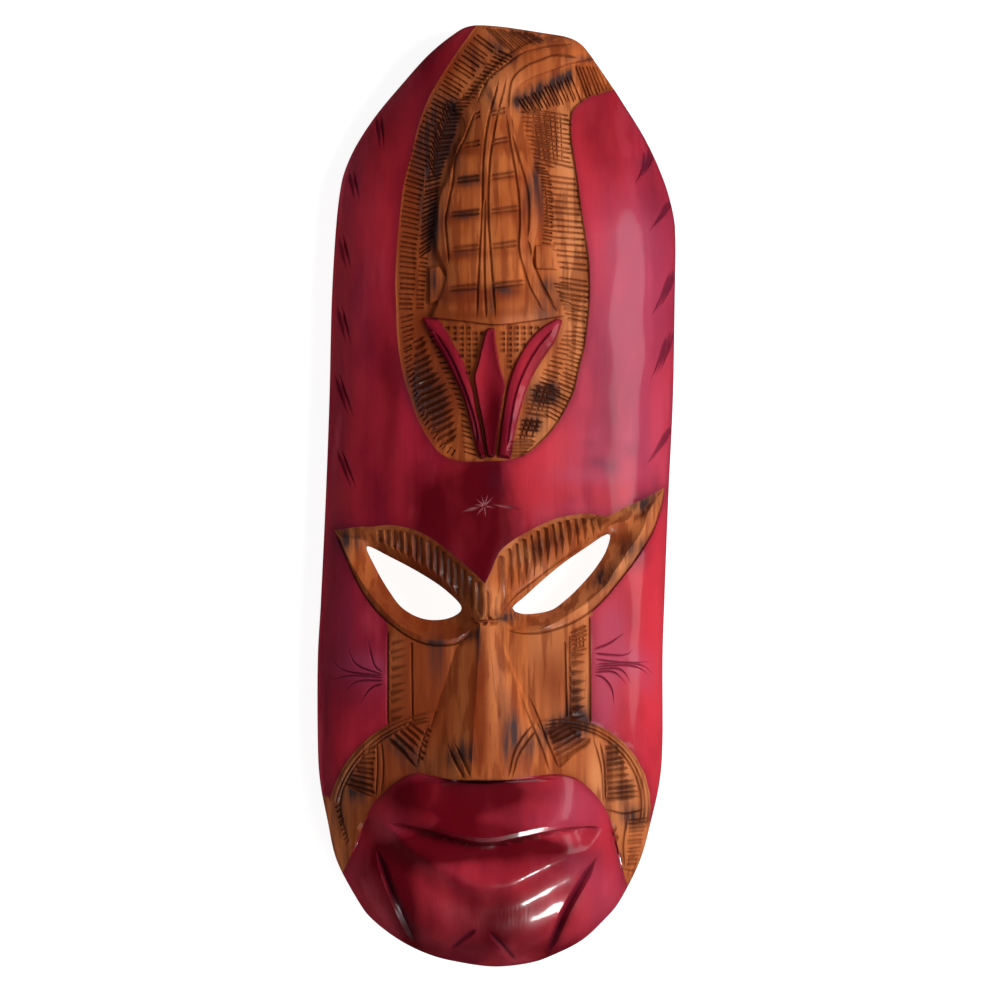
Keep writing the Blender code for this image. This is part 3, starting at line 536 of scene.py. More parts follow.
# Rows of strokes: where they start and end, how many, their width and depth, and how uneven they are
CHEEK_STROKES = [
    ([(51, -248), (64, -282)], [(74, -237), (104, -259)], 6, 0.0046, 0.0024, 0.5, 0.12, 0.2),
    ([(115, -264), (116, -324)], [(128, -261), (156, -321)], 10, 0.0034, 0.0020, 0.8, 0.06, 0.25),
    ([(140, -341), (137, -393)], [(164, -339), (151, -393)], 12, 0.0026, 0.0016, 1, 0.1, 0.2),
    ([(-119, -256), (-94, -235)], [(-89, -285), (-72, -251)], 5, 0.0034, 0.0018, 0.7, 0.2, 0.25),
    ([(-76, -242), (-83, -277)], [(-67, -245), (-77, -281)], 6, 0.0022, 0.0012, 0.8, 0.2, 0.3),
    ([(-128, -262), (-129, -316)], [(-143, -268), (-162, -306)], 9, 0.0030, 0.0017, 0.8, 0.08, 0.2),
    ([(-172, -329), (-160, -372)], [(-165, -323), (-155, -365)], 9, 0.0020, 0.0011, 1, 0.1, 0.3),
    ([(-113, -151), (-113, -240)], [(-94, -146), (-94, -234)], 10, 0.00364, 0.0018, 0.8, 0.06, 0.8),
    ([(77, -163), (78, -240)], [(96, -161), (96, -236)], 8, 0.00476, 0.00252, 0.6, 0.05, 0.8),
    ([(76, -144), (76, -168)], [(96, -134), (96, -163)], 6, 0.0024, 0.0014, 1),
    ([(81, -140), (91, -136)], [(82, -163), (94, -161)], 3, 0.0018, 0.0010, 1),
]
for row in CHEEK_STROKES:
    cuts += hatch(*row)
for line in (
    [(-115, -142), (-115, -242)], [(-90, -153), (-89, -240)], [(72, -153), (74, -234)],
    [(77, -146), (78, -234)],
    [(98, -127), (99, -240)],
):
    cuts.append(cut(line, *LADDER_BORDER))


# The mouth and chin stand out as one swollen muzzle. Its upper lip is scooped, the mouth is a long
# shallow gap with a crisp edge above and below, and a deep cut runs down each side to the rim.
LIP_EDGE, RIM_EDGE, EDGE_START, EDGE_RUN = 0.009, 0.0015, 0.015, 0.05
MUZZLE_RISE, MUZZLE_SHOULDER, MUZZLE_END = 0.008, 0.030, 0.025
LIP_BEVEL, LIP_BEVEL_FALL, BEVEL_END = 0.0022, 0.30, 0.008
LIP_SCOOP, SCOOP_END = 0.0045, 0.024
MOUTH_DEPTH, MOUTH_FALL = 0.0095, 0.6
MOUTH_WALL, MOUTH_FLOOR, MOUTH_CURVE = 0.12, 0.88, 0.07
CHIN_SWELL, SWELL_START, SWELL_RUN = 0.003, 0.010, 0.025
CHIN_HOLLOW, CHIN_HOLLOW_RUN = 0.0018, 0.014
CHIN_EDGE, CHIN_EDGE_RUN, CHIN_EDGE_END, CHIN_EDGE_FADE = 0.0015, 0.007, 0.008, 0.012
CHEEK_CUT, CHIN_CUT = (0.0055, 0.0035), (0.004, 0.0018)
MUZZLE = curve([
    (-163, -399), (-154, -379), (-143, -352), (-132, -327), (-120, -314), (-105, -301), (-87, -292),
    (-65, -295), (-43, -299), (-20, -301), (2, -300), (24, -296), (47, -294), (65, -293), (83, -297),
    (99, -309), (115, -329), (123, -349), (130, -376), (137, -406), (141, -416),
])
MUZZLE_AREA = np.concatenate([MUZZLE, on_grid([(141, -560), (-163, -560)])])
UPPER_LIP = curve([
    (-121, -340), (-103, -340), (-76, -345), (-43, -354), (-20, -359), (-2, -359), (18, -355), (47, -349),
    (81, -344), (104, -344), (115, -347),
])
LOWER_LIP = curve([
    (115, -347), (97, -373), (75, -380), (47, -393), (14, -409), (-12, -412), (-31, -408), (-51, -396),
    (-69, -384), (-91, -370), (-121, -340),
])
MOUTH = joined(UPPER_LIP, LOWER_LIP)[:-1]
SCOOP_LEFT, SCOOP_RIGHT = on_grid([(-89, 0), (80, 0)])[:, 0]


def muzzle_height(points, from_edge):
    """The swollen mouth and chin, over the level of the face."""
    x, y = points.T
    inside = depth_inside(points, MUZZLE_AREA)
    step = RIM_EDGE + (LIP_EDGE - RIM_EDGE) * smooth((from_edge - EDGE_START) / EDGE_RUN)
    rise = step * ramp(inside / STEP_SLOPE) + MUZZLE_RISE * swell(inside / MUZZLE_SHOULDER)

    from_top, from_lip, from_lower = [away(points, line) for line in (MUZZLE, UPPER_LIP, LOWER_LIP)]
    above_mouth = (y > np.interp(x, UPPER_LIP[:, 0], UPPER_LIP[:, 1])) & (inside > 0)
    sides = smooth((x - SCOOP_LEFT) / SCOOP_END) * smooth((SCOOP_RIGHT - x) / SCOOP_END)
    between = from_top / (from_top + from_lip + 1e-9)
    scoop = LIP_SCOOP * np.sin(np.pi * between) * sides * above_mouth

    gape = from_lip + from_lower + 1e-9
    wall = np.maximum(from_lip - LIP_BEVEL, 0) / gape / MOUTH_WALL
    floor = (1 - from_lip / gape) / MOUTH_FLOOR
    depth = np.minimum(MOUTH_DEPTH, MOUTH_FALL * gape) * np.minimum(wall, floor**2 / (floor + MOUTH_CURVE))
    bevel = LIP_BEVEL_FALL * np.minimum(from_lip, LIP_BEVEL) * smooth(from_lower / BEVEL_END)
    mouth = (depth + bevel) * within(points, MOUTH)

    below_mouth = y < np.interp(x, LOWER_LIP[::-1, 0], LOWER_LIP[::-1, 1])
    chin = CHIN_SWELL * smooth((from_lower - SWELL_START) / SWELL_RUN)
    chin -= CHIN_HOLLOW * smooth(from_lower / CHIN_HOLLOW_RUN)
    edge = smooth(from_lower / CHIN_EDGE_RUN) * (1 - smooth((from_lower - CHIN_EDGE_END) / CHIN_EDGE_FADE))
    chin -= CHIN_EDGE * edge
    swollen = (rise + chin * below_mouth) * smooth(from_edge / MUZZLE_END) ** 0.5 * (inside > 0)
    return swollen - scoop - mouth


cuts += [
    cut([(-128, -371), (-119, -393), (-109, -421), (-96, -451), (-84, -477)], *CHEEK_CUT),
    cut([(106, -381), (89, -410), (71, -442), (60, -470), (54, -487)], *CHEEK_CUT),
    cut([(-21, -457), (-36, -468), (-49, -480)], *CHIN_CUT),
    cut([(-9, -459), (6, -475), (21, -493)], *CHIN_CUT),
]


# The forehead holds a sunk panel with a lizard in low relief. Its tail curls round the crown, its
# back is ribbed by pairs of bars, and its open jaws and tongue point down at the keel. The ground
# round it is hatched with short cuts, closer and blacker beside the lizard.
PANEL_DEPTH, PANEL_STEP, PANEL_SLOPE = 0.0035, 0.0014, 0.014
LIZARD_STEP, LIZARD_SWELL, LIZARD_SHOULDER = 0.0030, 0.0030, 0.014
JAW_STEP, JAW_ROOF, JAW_HALF_WIDTH = 0.0020, 0.0016, 0.0030
TONGUE_RISE, TONGUE_DISH, DISH_SHOULDER = 0.0034, 0.0010, 0.004
LEG_RISE = 0.0022
LEFT_PANEL = curve([
    (-19, 503), (-44, 468), (-60, 443), (-71, 424), (-82, 396), (-90, 363), (-99, 325), (-104, 280),
    (-106, 249), (-107, 225), (-106, 196), (-105, 169), (-102, 145), (-97, 122), (-90, 101), (-83, 81),
    (-73, 63), (-62, 48), (-49, 40),
    (-34, 37), (-17, 37),
])
RIGHT_PANEL = curve([
    (-17, 37), (9, 38), (21, 41), (35, 47), (50, 60), (63, 75), (73, 92), (82, 111), (88, 137), (93, 156),
    (97, 184),
    (99, 209), (99, 230), (98, 252), (95, 273), (90, 305), (86, 337), (81, 369), (79, 392), (81, 407),
    (87, 415), (100, 424),
    (114, 428), (134, 435),
])
PANEL = np.concatenate([LEFT_PANEL, RIGHT_PANEL[1:], on_grid([(200, 520), (-19, 560)])])
LIZARD = joined(
    curve([
        (-30, 421), (-40, 419), (-46, 411), (-37, 401), (-35, 386), (-44, 366), (-52, 336), (-60, 320),
        (-64, 292), (-66, 273), (-60, 251), (-54, 234), (-60, 212), (-70, 188),
    ]),
    curve([(-70, 188), (-35, 184), (1, 180), (36, 184), (73, 190)]),
    curve([
        (72, 190), (57, 209), (46, 229), (39, 247), (41, 265), (46, 288), (46, 311), (44, 328), (38, 344),
        (31, 358), (23, 372),
        (18, 387), (16, 403), (17, 420), (23, 432), (36, 441), (56, 449), (83, 459), (111, 464),
    ]),
    curve([
        (111, 464), (98, 477), (80, 486), (52, 488), (31, 480), (12, 468), (-5, 452), (-19, 435), (-30, 421),
    ]),
)[:-1]
LEFT_LEG = on_grid([(-74, 243), (-60, 244), (-50, 228), (-55, 208), (-72, 202)])
RIGHT_LEG = on_grid([(40, 266), (64, 266), (64, 239), (40, 239)])
LEFT_JAW = joined(
    curve([
        (-79, 190), (-67, 164), (-56, 147), (-46, 128), (-37, 109), (-31, 90), (-26, 69), (-20, 47),
        (-16, 39),
    ]),
    curve([
        (-16, 39), (-11, 41), (-16, 71), (-21, 92), (-24, 110), (-29, 125), (-36, 145), (-45, 160),
        (-53, 175), (-62, 188),
    ]),
)
RIGHT_JAW = joined(
    curve([(15, 39), (20, 69), (27, 96), (33, 115), (41, 132), (52, 149), (63, 166), (70, 186)]),
    curve([
        (70, 186), (64, 188), (48, 179), (35, 166), (27, 154), (20, 141), (14, 124), (10, 107), (7, 90),
        (4, 69), (1, 41),
    ]),
)
TONGUE = joined(
    curve([
        (-2, 177), (-10, 177), (-16, 158), (-20, 141), (-24, 126), (-22, 112), (-18, 90), (-14, 69),
        (-11, 49), (-9, 42),
    ]),
    curve([(-9, 42), (-2, 42), (1, 63), (4, 85), (7, 104), (9, 118), (4, 137), (0, 159), (-2, 177)]),
)[:-1]


def relief_height(points):
    """The sunk panel on the forehead and the lizard, jaws and tongue that stand in it."""
    ground = depth_inside(points, PANEL)
    sunk = PANEL_STEP * ramp(ground / STEP_SLOPE) + (PANEL_DEPTH - PANEL_STEP) * swell(ground / PANEL_SLOPE)
    body = depth_inside(points, LIZARD)
    raised = LIZARD_STEP * ramp(body / STEP_SLOPE) + LIZARD_SWELL * swell(body / LIZARD_SHOULDER)
    for leg in (LEFT_LEG, RIGHT_LEG):
        raised = np.maximum(raised, LEG_RISE * ramp(depth_inside(points, leg) / STEP_SLOPE))
    for jaw in (LEFT_JAW, RIGHT_JAW):
        inside = depth_inside(points, jaw)
        roof = JAW_STEP * ramp(inside / STEP_SLOPE) + JAW_ROOF * ramp(inside / JAW_HALF_WIDTH)
        raised = np.maximum(raised, roof)
    blade = depth_inside(points, TONGUE)
    dish = TONGUE_DISH * swell((blade - STEP_SLOPE) / DISH_SHOULDER)
    return np.maximum(raised, TONGUE_RISE * ramp(blade / STEP_SLOPE) - dish) - sunk


# The hatching of the panel, from the crown down its left side, then down its right side
OUTER_LEFT = [
    (-20, 492), (-34, 476), (-47, 458), (-59, 440), (-69, 421), (-79, 402), (-87, 377), (-94, 355),
    (-98, 328), (-101, 299), (-102, 273), (-103, 249), (-104, 225), (-104, 196),
]
MIDDLE_LEFT = [
    (2, 475), (-10, 460), (-22, 444), (-35, 427), (-47, 411), (-57, 393), (-65, 372), (-71, 352),
    (-77, 328), (-80, 299), (-82, 273), (-84, 249), (-86, 225), (-88, 196),
]
INNER_LEFT = [
    (20, 466), (7, 454), (-6, 439), (-19, 425), (-34, 408), (-41, 387), (-49, 365), (-55, 345),
    (-60, 326), (-63, 299), (-66, 273), (-69, 260),
]
PANEL_STROKES = [
    (OUTER_LEFT, MIDDLE_LEFT, 58, 0.001575, 0.0011, 1, 0.05, 0.12),
    (MIDDLE_LEFT[:12], INNER_LEFT, 52, 0.001575, 0.00132, 1, 0.08, 0.16),
    ([(-83, 256), (-87, 196)], [(-72, 254), (-77, 196)], 12, 0.0015, 0.0011),
    ([(-53, 422), (-63, 403), (-70, 377), (-74, 353)], [(-47, 403), (-54, 386), (-61, 362), (-66, 337)],
     16, 0.0012, 0.00088),
    ([(-15, 498), (36, 492)], [(13, 469), (55, 481)], 13, 0.0018, 0.0011, 1, 0.06, 0.25),
    ([(-103, 192), (-102, 169), (-99, 145), (-94, 122), (-87, 101), (-80, 81), (-70, 64), (-59, 49),
     (-46, 41)], [(-86, 196), (-88, 171), (-89, 149), (-86, 128), (-82, 107), (-74, 88), (-65, 73),
     (-54, 58), (-41, 49)], 31, 0.001575, 0.0011),
    ([(-90, 166), (-90, 143), (-89, 125), (-87, 106), (-83, 91), (-77, 80), (-71, 70), (-66, 60),
     (-60, 51)], [(-77, 174), (-70, 153), (-65, 139), (-57, 126), (-50, 115), (-45, 104), (-43, 90),
     (-41, 78), (-41, 63)], 17, 0.0036, 0.0022, 0.7, 0.2, 0.3),
    ([(-74, 177), (-67, 156), (-60, 137), (-51, 118), (-44, 103), (-39, 86), (-38, 71), (-38, 58),
     (-37, 44)], [(-69, 179), (-57, 154), (-48, 135), (-39, 115), (-33, 96), (-29, 79), (-24, 60),
     (-21, 47), (-19, 39)], 24, 0.00135, 0.0011),
    ([(33, 413), (36, 379), (45, 354)], [(80, 405), (79, 375), (83, 345)], 12, 0.00135, 0.0011, 0.8, 0.05,
     0.05),
    ([(23, 409), (30, 379), (40, 352)], [(59, 407), (59, 377), (63, 345)], 12, 0.0015, 0.0011, 0.8),
    ([(34, 411), (70, 411)], [(45, 349), (72, 347)], 6, 0.0012, 0.00088, 0.6),
    ([(53, 343), (55, 310), (56, 273), (66, 239)], [(84, 339), (90, 303), (95, 266), (98, 235)], 16,
     0.001575, 0.0011, 0.7, 0.06, 0.04),
    ([(37, 354), (46, 335), (49, 315), (49, 292), (47, 266)],
     [(52, 352), (59, 332), (61, 313), (61, 290), (59, 264)], 24, 0.0015, 0.00132),
    ([(51, 341), (52, 305)], [(54, 309), (53, 271)], 2, 0.0012, 0.0011),
    ([(65, 234), (66, 214), (74, 186)], [(98, 229), (98, 209), (96, 181)], 9, 0.0018, 0.00132, 0.7, 0.06,
     0.06),
    ([(57, 228), (64, 213), (71, 196)], [(79, 224), (79, 211), (84, 192)], 7, 0.0015, 0.00132),
    ([(81, 181), (76, 156), (68, 132), (60, 108), (49, 86)],
     [(96, 179), (91, 154), (86, 126), (78, 101), (64, 77)], 23, 0.001575, 0.0011, 1, 0.1, 0.05),
    ([(73, 177), (61, 154), (49, 134), (39, 115)], [(84, 177), (78, 152), (69, 128), (61, 107)], 14,
     0.0015, 0.0011),
    ([(36, 120), (28, 86)], [(68, 113), (57, 81)], 7, 0.0019, 0.0012, 0.8),
    ([(43, 120), (60, 118)], [(32, 88), (49, 84)], 3, 0.0016, 0.0010, 0.7),
    ([(24, 84), (18, 58)], [(51, 81), (40, 56)], 5, 0.0019, 0.0012, 0.8),
    ([(30, 86), (47, 84)], [(21, 60), (36, 56)], 3, 0.0015, 0.0011, 0.8),
    ([(14, 59), (10, 42)], [(43, 60), (30, 42)], 5, 0.0026, 0.0017, 0.7),
    ([(81, 458), (115, 458)], [(94, 420), (127, 434)], 9, 0.0015, 0.0011, 0.5, 0.06, 0.06),
    ([(20, 420), (79, 449)], [(32, 403), (91, 418)], 17, 0.00135, 0.0011, 1, 0.12, 0.12),
]
for row in PANEL_STROKES:
    cuts += hatch(*row)

# Little square pits between the jaws and the tongue, in columns and rows
PIT = (0.0026, 0.0014, 0.12, 0.12)
PIT_COLUMNS, PIT_ROWS = 7.3 * np.arange(7), 5.9 * np.arange(9)
PIT_TOP, PIT_HALF_LENGTH, PIT_MARGIN = 178, 3.1, 0.0008
LEFT_WEB = on_grid([(-56, 182), (-12, 178), (-26, 132), (-30, 124)])
RIGHT_WEB = on_grid([(0, 178), (55, 186), (26, 156), (9, 124)])
for web, first in ((LEFT_WEB, -52), (RIGHT_WEB, 6)):
    for x in first + PIT_COLUMNS:
        for y in PIT_TOP - PIT_ROWS:
            if depth_inside(on_grid([(x, y)]), web)[0] > PIT_MARGIN:
                cuts.append(cut([(x - PIT_HALF_LENGTH, y), (x + PIT_HALF_LENGTH, y)], *PIT))

# The lines along the lizard's back, flanks and jaws, and the pairs of bars across it
RIDGE = (0.0022, 0.0013, 0.06, 0.06)
LEFT_BAR, RIGHT_BAR = (0.0022, 0.0012, 0.12, 0.1), (0.0022, 0.0012, 0.1, 0.12)
BAR_GAP, LEFT_LEAN, RIGHT_LEAN = 2.2, 3, 4
SPINE_LEFT, SPINE_RIGHT = -17, -7
for line in (
    [(3, 443), (-2, 424), (-7, 406), (-11, 385), (-14, 358), (-15, 326), (-16, 292), (-18, 262),
     (-20, 220), (-21, 186)],
    [(11, 445), (6, 425), (1, 406), (-3, 385), (-7, 358), (-9, 326), (-9, 292), (-7, 262), (-4, 220),
     (-1, 186)],
    [(-12, 315), (-13, 273), (-13, 230), (-11, 186)],
    [(-21, 415), (-15, 429), (-7, 444), (10, 457), (26, 469), (41, 474), (59, 478), (83, 480)],
    [(13, 409), (13, 426), (17, 443), (31, 456), (50, 464), (63, 468), (86, 465)],
    [(-22, 409), (-31, 384), (-43, 358), (-46, 334), (-52, 304), (-54, 290), (-52, 265), (-50, 243)],
    [(14, 407), (18, 376), (24, 354), (31, 330), (34, 305), (33, 273)],
    [(10, 405), (14, 373), (19, 345), (23, 315), (24, 288), (23, 262), (28, 241), (36, 218), (50, 194)],
    [(33, 271), (38, 249), (48, 224), (64, 194)],
    [(60, 177), (45, 160), (31, 137), (20, 109), (14, 77), (11, 52)],
    [(-66, 175), (-49, 147), (-34, 113), (-24, 81), (-19, 54)],
):
    cuts.append(cut(line, *RIDGE))
for high, left_end, right_end in (
    (404.787, -23.404, 9.574), (373.936, -36.170, 13.830), (336.702, -43.617, 20.213),
    (300.532, -50, 23.404), (263.298, -48.936, 22.340), (221.809, -52.128, 29.787),
):
    for y in (high - BAR_GAP, high + BAR_GAP):
        cuts.append(cut([(left_end, y - LEFT_LEAN), (SPINE_LEFT, y)], *LEFT_BAR))
        cuts.append(cut([(SPINE_RIGHT, y), (right_end, y + RIGHT_LEAN)], *RIGHT_BAR))


# The whole front and back are carved out of the one block, so they are one closed skin: a fine net of
# triangles that has every drawn line and every cut as an edge, lifted to the height of the wood.
FRONT_MESH, FRONT_CLEARANCE = 0.0020, 0.55
BACK_MESH, BACK_CLEARANCE = 0.0045, 0.5
ROW_SHARE = 0.866
REACH = 0.55
EDGE_LINE, LIP_LINE, HOLLOW_LINE = 0.002, 0.0034, 1.5 * RIM_LAND
MERGE = 0.02
MILLIMETRES = 1000
WAVES, WAVE_HEIGHT, WAVE_LENGTHS, ACROSS_GRAIN = 9, 0.00006, (0.011, 0.034), 0.6
SHARPEST_SMOOTH_EDGE = np.radians(32)


def gouge_waves(points):
    """The shallow, uneven waves that the gouge leaves on the planed wood."""
    waves = np.zeros(len(points))
    turns, lengths = hand.uniform(0, np.pi, WAVES), hand.uniform(*WAVE_LENGTHS, WAVES)
    for turn, length, start in zip(turns, lengths, hand.uniform(0, 6.3, WAVES)):
        along = points @ np.array([np.cos(turn), ACROSS_GRAIN * np.sin(turn)])
        waves += WAVE_HEIGHT * np.sin(2 * np.pi * along / length + start) * length / WAVE_LENGTHS[1]
    return waves


def front_height(points):
    """The front of the mask without its chisel cuts, and how far each point is from the edge."""
    x, y = points.T
    from_edge = away(points, ring(OUTLINE))
    blank = blank_height(points, from_edge)
    forehead = blank + keel_height(points) + relief_height(points)
    low_face = blank - FACE_SET_BACK * smooth(from_edge / SET_BACK_RUN)
    tips = smooth((x - BROW[0, 0]) / TIP_LENGTH) * smooth((BROW[-1, 0] - x) / TIP_LENGTH)
    below = smooth(depth_inside(points, BELOW_BROW) / BROW_STEP)
    level = blank + (low_face - blank) * below

    nose = nose_height(points)
    disc = disc_height(points) * (1 - ramp(nose / NOSE_FOOT_FADE))
    beside = nose + disc + rim_height(points)
    past_step = ramp(away(points, MUZZLE) / STEP_SLOPE)
    swollen = np.maximum(beside * (1 - past_step) + muzzle_height(points, from_edge), nose)
    face = level + np.where(within(points, MUZZLE_AREA), swollen, beside)

    bridge = np.exp(-(((x - KEEL[-1, 0]) / BRIDGE_HALF_WIDTH) ** 2))
    height = np.where(within(points, BELOW_BROW), face, forehead)
    band = band_height(points, forehead, low_face, bridge, tips)
    height = np.where(within(points, BAND), band, height)
    socket = socket_height(points, low_face, bridge, tips)
    return np.where(np.isnan(socket), height, socket), from_edge


def spread(step):
    """Points spread evenly over the mask."""
    points = []
    for row, y in enumerate(np.arange(-0.5 * MASK_LENGTH, 0.5 * MASK_LENGTH, step * ROW_SHARE)):
        xs = np.arange(-REACH * MASK_WIDTH, REACH * MASK_WIDTH, step) + (row % 2) * step / 2
        points += [(x, y) for x in xs]
    points = np.array(points)
    return points[depth_inside(points, OUTLINE) > step / 3]


def clear_of(points, lines, gap):
    """The points that are further than the gap from every point of the lines."""
    marks = np.concatenate(lines)
    tree = KDTree(len(marks))
    for i, (x, y) in enumerate(marks):
        tree.insert((x, y, 0), i)
    tree.balance()
    return np.array([p for p in points if tree.find((p[0], p[1], 0))[2] > gap])


def sheet(lines, points, outer, holes):
    """Triangles between the outer loop and the holes, with every line as an edge."""
    corners, edges = [], []
    for line in lines:
        first = len(corners)
        corners += [Vector(p * MILLIMETRES) for p in line]
        edges += [(first + i, first + i + 1) for i in range(len(line) - 1)]
    corners += [Vector(p * MILLIMETRES) for p in points]
    flat, _, faces, sources, _, _ = delaunay_2d_cdt(corners, edges, [], 0, MERGE)
    flat, faces = np.array(flat) / MILLIMETRES, np.array(faces)
    middles = flat[faces].mean(axis=1)
    kept = within(middles, outer)
    for hole in holes:
        kept &= ~within(middles, hole)
    return flat, faces[kept], sources


def open_loops(faces):
    """The loops of edges that have a face on one side only, the longest first."""
    edges = {(a, b) for face in faces for a, b in zip(face, np.roll(face, -1))}
    follows = {a: b for a, b in edges if (b, a) not in edges}
    loops = []
    while follows:
        loop = [min(follows)]
        while loop[-1] in follows:
            loop.append(follows.pop(loop[-1]))
        loops.append(loop[:-1])
    return sorted(loops, key=len, reverse=True)


shape_lines = [
    ring(OUTLINE), ring(LEFT_EYE), ring(RIGHT_EYE), ring(inset_loop(OUTLINE, EDGE_LINE)), KEEL, BROW,
    BAND_FOOT, LEFT_LID, RIGHT_LID, inset(LEFT_LID, RIM_ROUND), inset(RIGHT_LID, RIM_ROUND),
    on_grid(arc(LEFT_DISC, LEFT_RADIUS, 175, 90)), on_grid(arc(RIGHT_DISC, RIGHT_RADIUS, 110, -30)),
    NOSE_LEFT_FOOT, NOSE_LEFT_EDGE, NOSE_RIGHT_EDGE, NOSE_RIGHT_FOOT,
    NOSE_BASE, NOSE_BASE - (0, NOSE_BASE_FALL), MUZZLE, inset(MUZZLE, -STEP_SLOPE),
    UPPER_LIP, inset(UPPER_LIP, -LIP_BEVEL / 2), inset(UPPER_LIP, -LIP_BEVEL), inset(UPPER_LIP, -LIP_LINE),
    LOWER_LIP, LEFT_PANEL, inset(LEFT_PANEL, STEP_SLOPE), RIGHT_PANEL, inset(RIGHT_PANEL, STEP_SLOPE),
]
for loop in (LIZARD, LEFT_LEG, RIGHT_LEG, LEFT_JAW, RIGHT_JAW, TONGUE):
    shape_lines += [ring(loop), ring(inset_loop(loop, STEP_SLOPE))]
for made in cuts:
    shape_lines += edges_of_cut(*made)
loose = clear_of(spread(FRONT_MESH), shape_lines, FRONT_CLEARANCE * FRONT_MESH)
front, front_faces, _ = sheet(shape_lines, loose, OUTLINE, [LEFT_EYE, RIGHT_EYE])

loops = open_loops(front_faces)
back_lines = [ring(front[loop]) for loop in loops]
rim_numbers = [i for loop in loops for i in loop + loop[:1]]
back_lines += [ring(inset_loop(OUTLINE, RIM_LAND)), ring(inset_loop(OUTLINE, HOLLOW_LINE))]
loose = clear_of(spread(BACK_MESH), back_lines, BACK_CLEARANCE * BACK_MESH)
back, back_faces, sources = sheet(back_lines, loose, front[loops[0]], [front[loop] for loop in loops[1:]])
behind = {rim_numbers[i]: made for made, given in enumerate(sources) for i in given if i < len(rim_numbers)}

used, used_back = np.unique(front_faces), np.unique(back_faces)
number = {old: new for new, old in enumerate(used)}
number_back = {old: new + len(used) for new, old in enumerate(used_back)}
plan = np.concatenate([front[used], back[used_back]])
shaped, from_edge = front_height(plan)
sunk, darkest = cut_depth(front[used], cuts)
hollow = hollow_height(back[used_back], from_edge[len(used):], shaped[len(used):])
heights = np.concatenate([shaped[:len(used)] - sunk + gouge_waves(front[used]), hollow])
faces = [[number[i] for i in face] for face in front_faces]
faces += [[number_back[i] for i in face[::-1]] for face in back_faces]
walls = []
for loop in loops:
    for a, b in zip(loop, loop[1:] + loop[:1]):
        walls.append([number[b], number[a], number_back[behind[a]], number_back[behind[b]]])
mesh = bpy.data.meshes.new("carved_mask")
mesh.from_pydata(np.column_stack([plan, heights]).tolist(), [], faces + walls)
carved_mask = bpy.data.objects.new("carved_mask", mesh)
bpy.context.scene.collection.objects.link(carved_mask)
bpy.ops.object.select_all(action="DESELECT")
carved_mask.select_set(True)
bpy.context.view_layer.objects.active = carved_mask
bpy.ops.object.shade_smooth_by_angle(angle=SHARPEST_SMOOTH_EDGE)


# The wood is dyed crimson on the forehead, sides, jaws, tongue and muzzle, and stained golden brown
# where it was left plain. A hot iron and a flame have scorched it here and there. These marks are
# kept on the mesh, as how strong each is at every point. Some of them also hold painted light:
# painted shade in the cuts, the upper lip and the mouth, painted light on the lips, a painted
# highlight on the bridge and a painted lilac sheen on the right of the forehead.
DYE_EDGE = 0.0035
LADDER_LEFT, LADDER_RIGHT = -115, 100


def blot(x, y, width, height, strength, lean=0.0):
    """A soft oval mark. Its place and size are in steps of the grid, and lean is in degrees."""
    middle = on_grid([(x, y)])[0]
    turn = np.radians(lean)
    offset = plan - middle
    u = (offset[:, 0] * np.cos(turn) + offset[:, 1] * np.sin(turn)) / (width * MASK_WIDTH / GRID_ACROSS)
    v = (-offset[:, 0] * np.sin(turn) + offset[:, 1] * np.cos(turn)) / (height * MASK_LENGTH / GRID_ALONG)
    return strength * np.exp(-(u**2 + v**2))


def mark(name, values):
    """Keeps a mark on the mesh under a name, as a strength from 0 to 1 at every point."""
    layer = mesh.attributes.new(name, "FLOAT", "POINT")
    layer.data.foreach_set("value", np.clip(values, 0, 1).astype(np.float32))


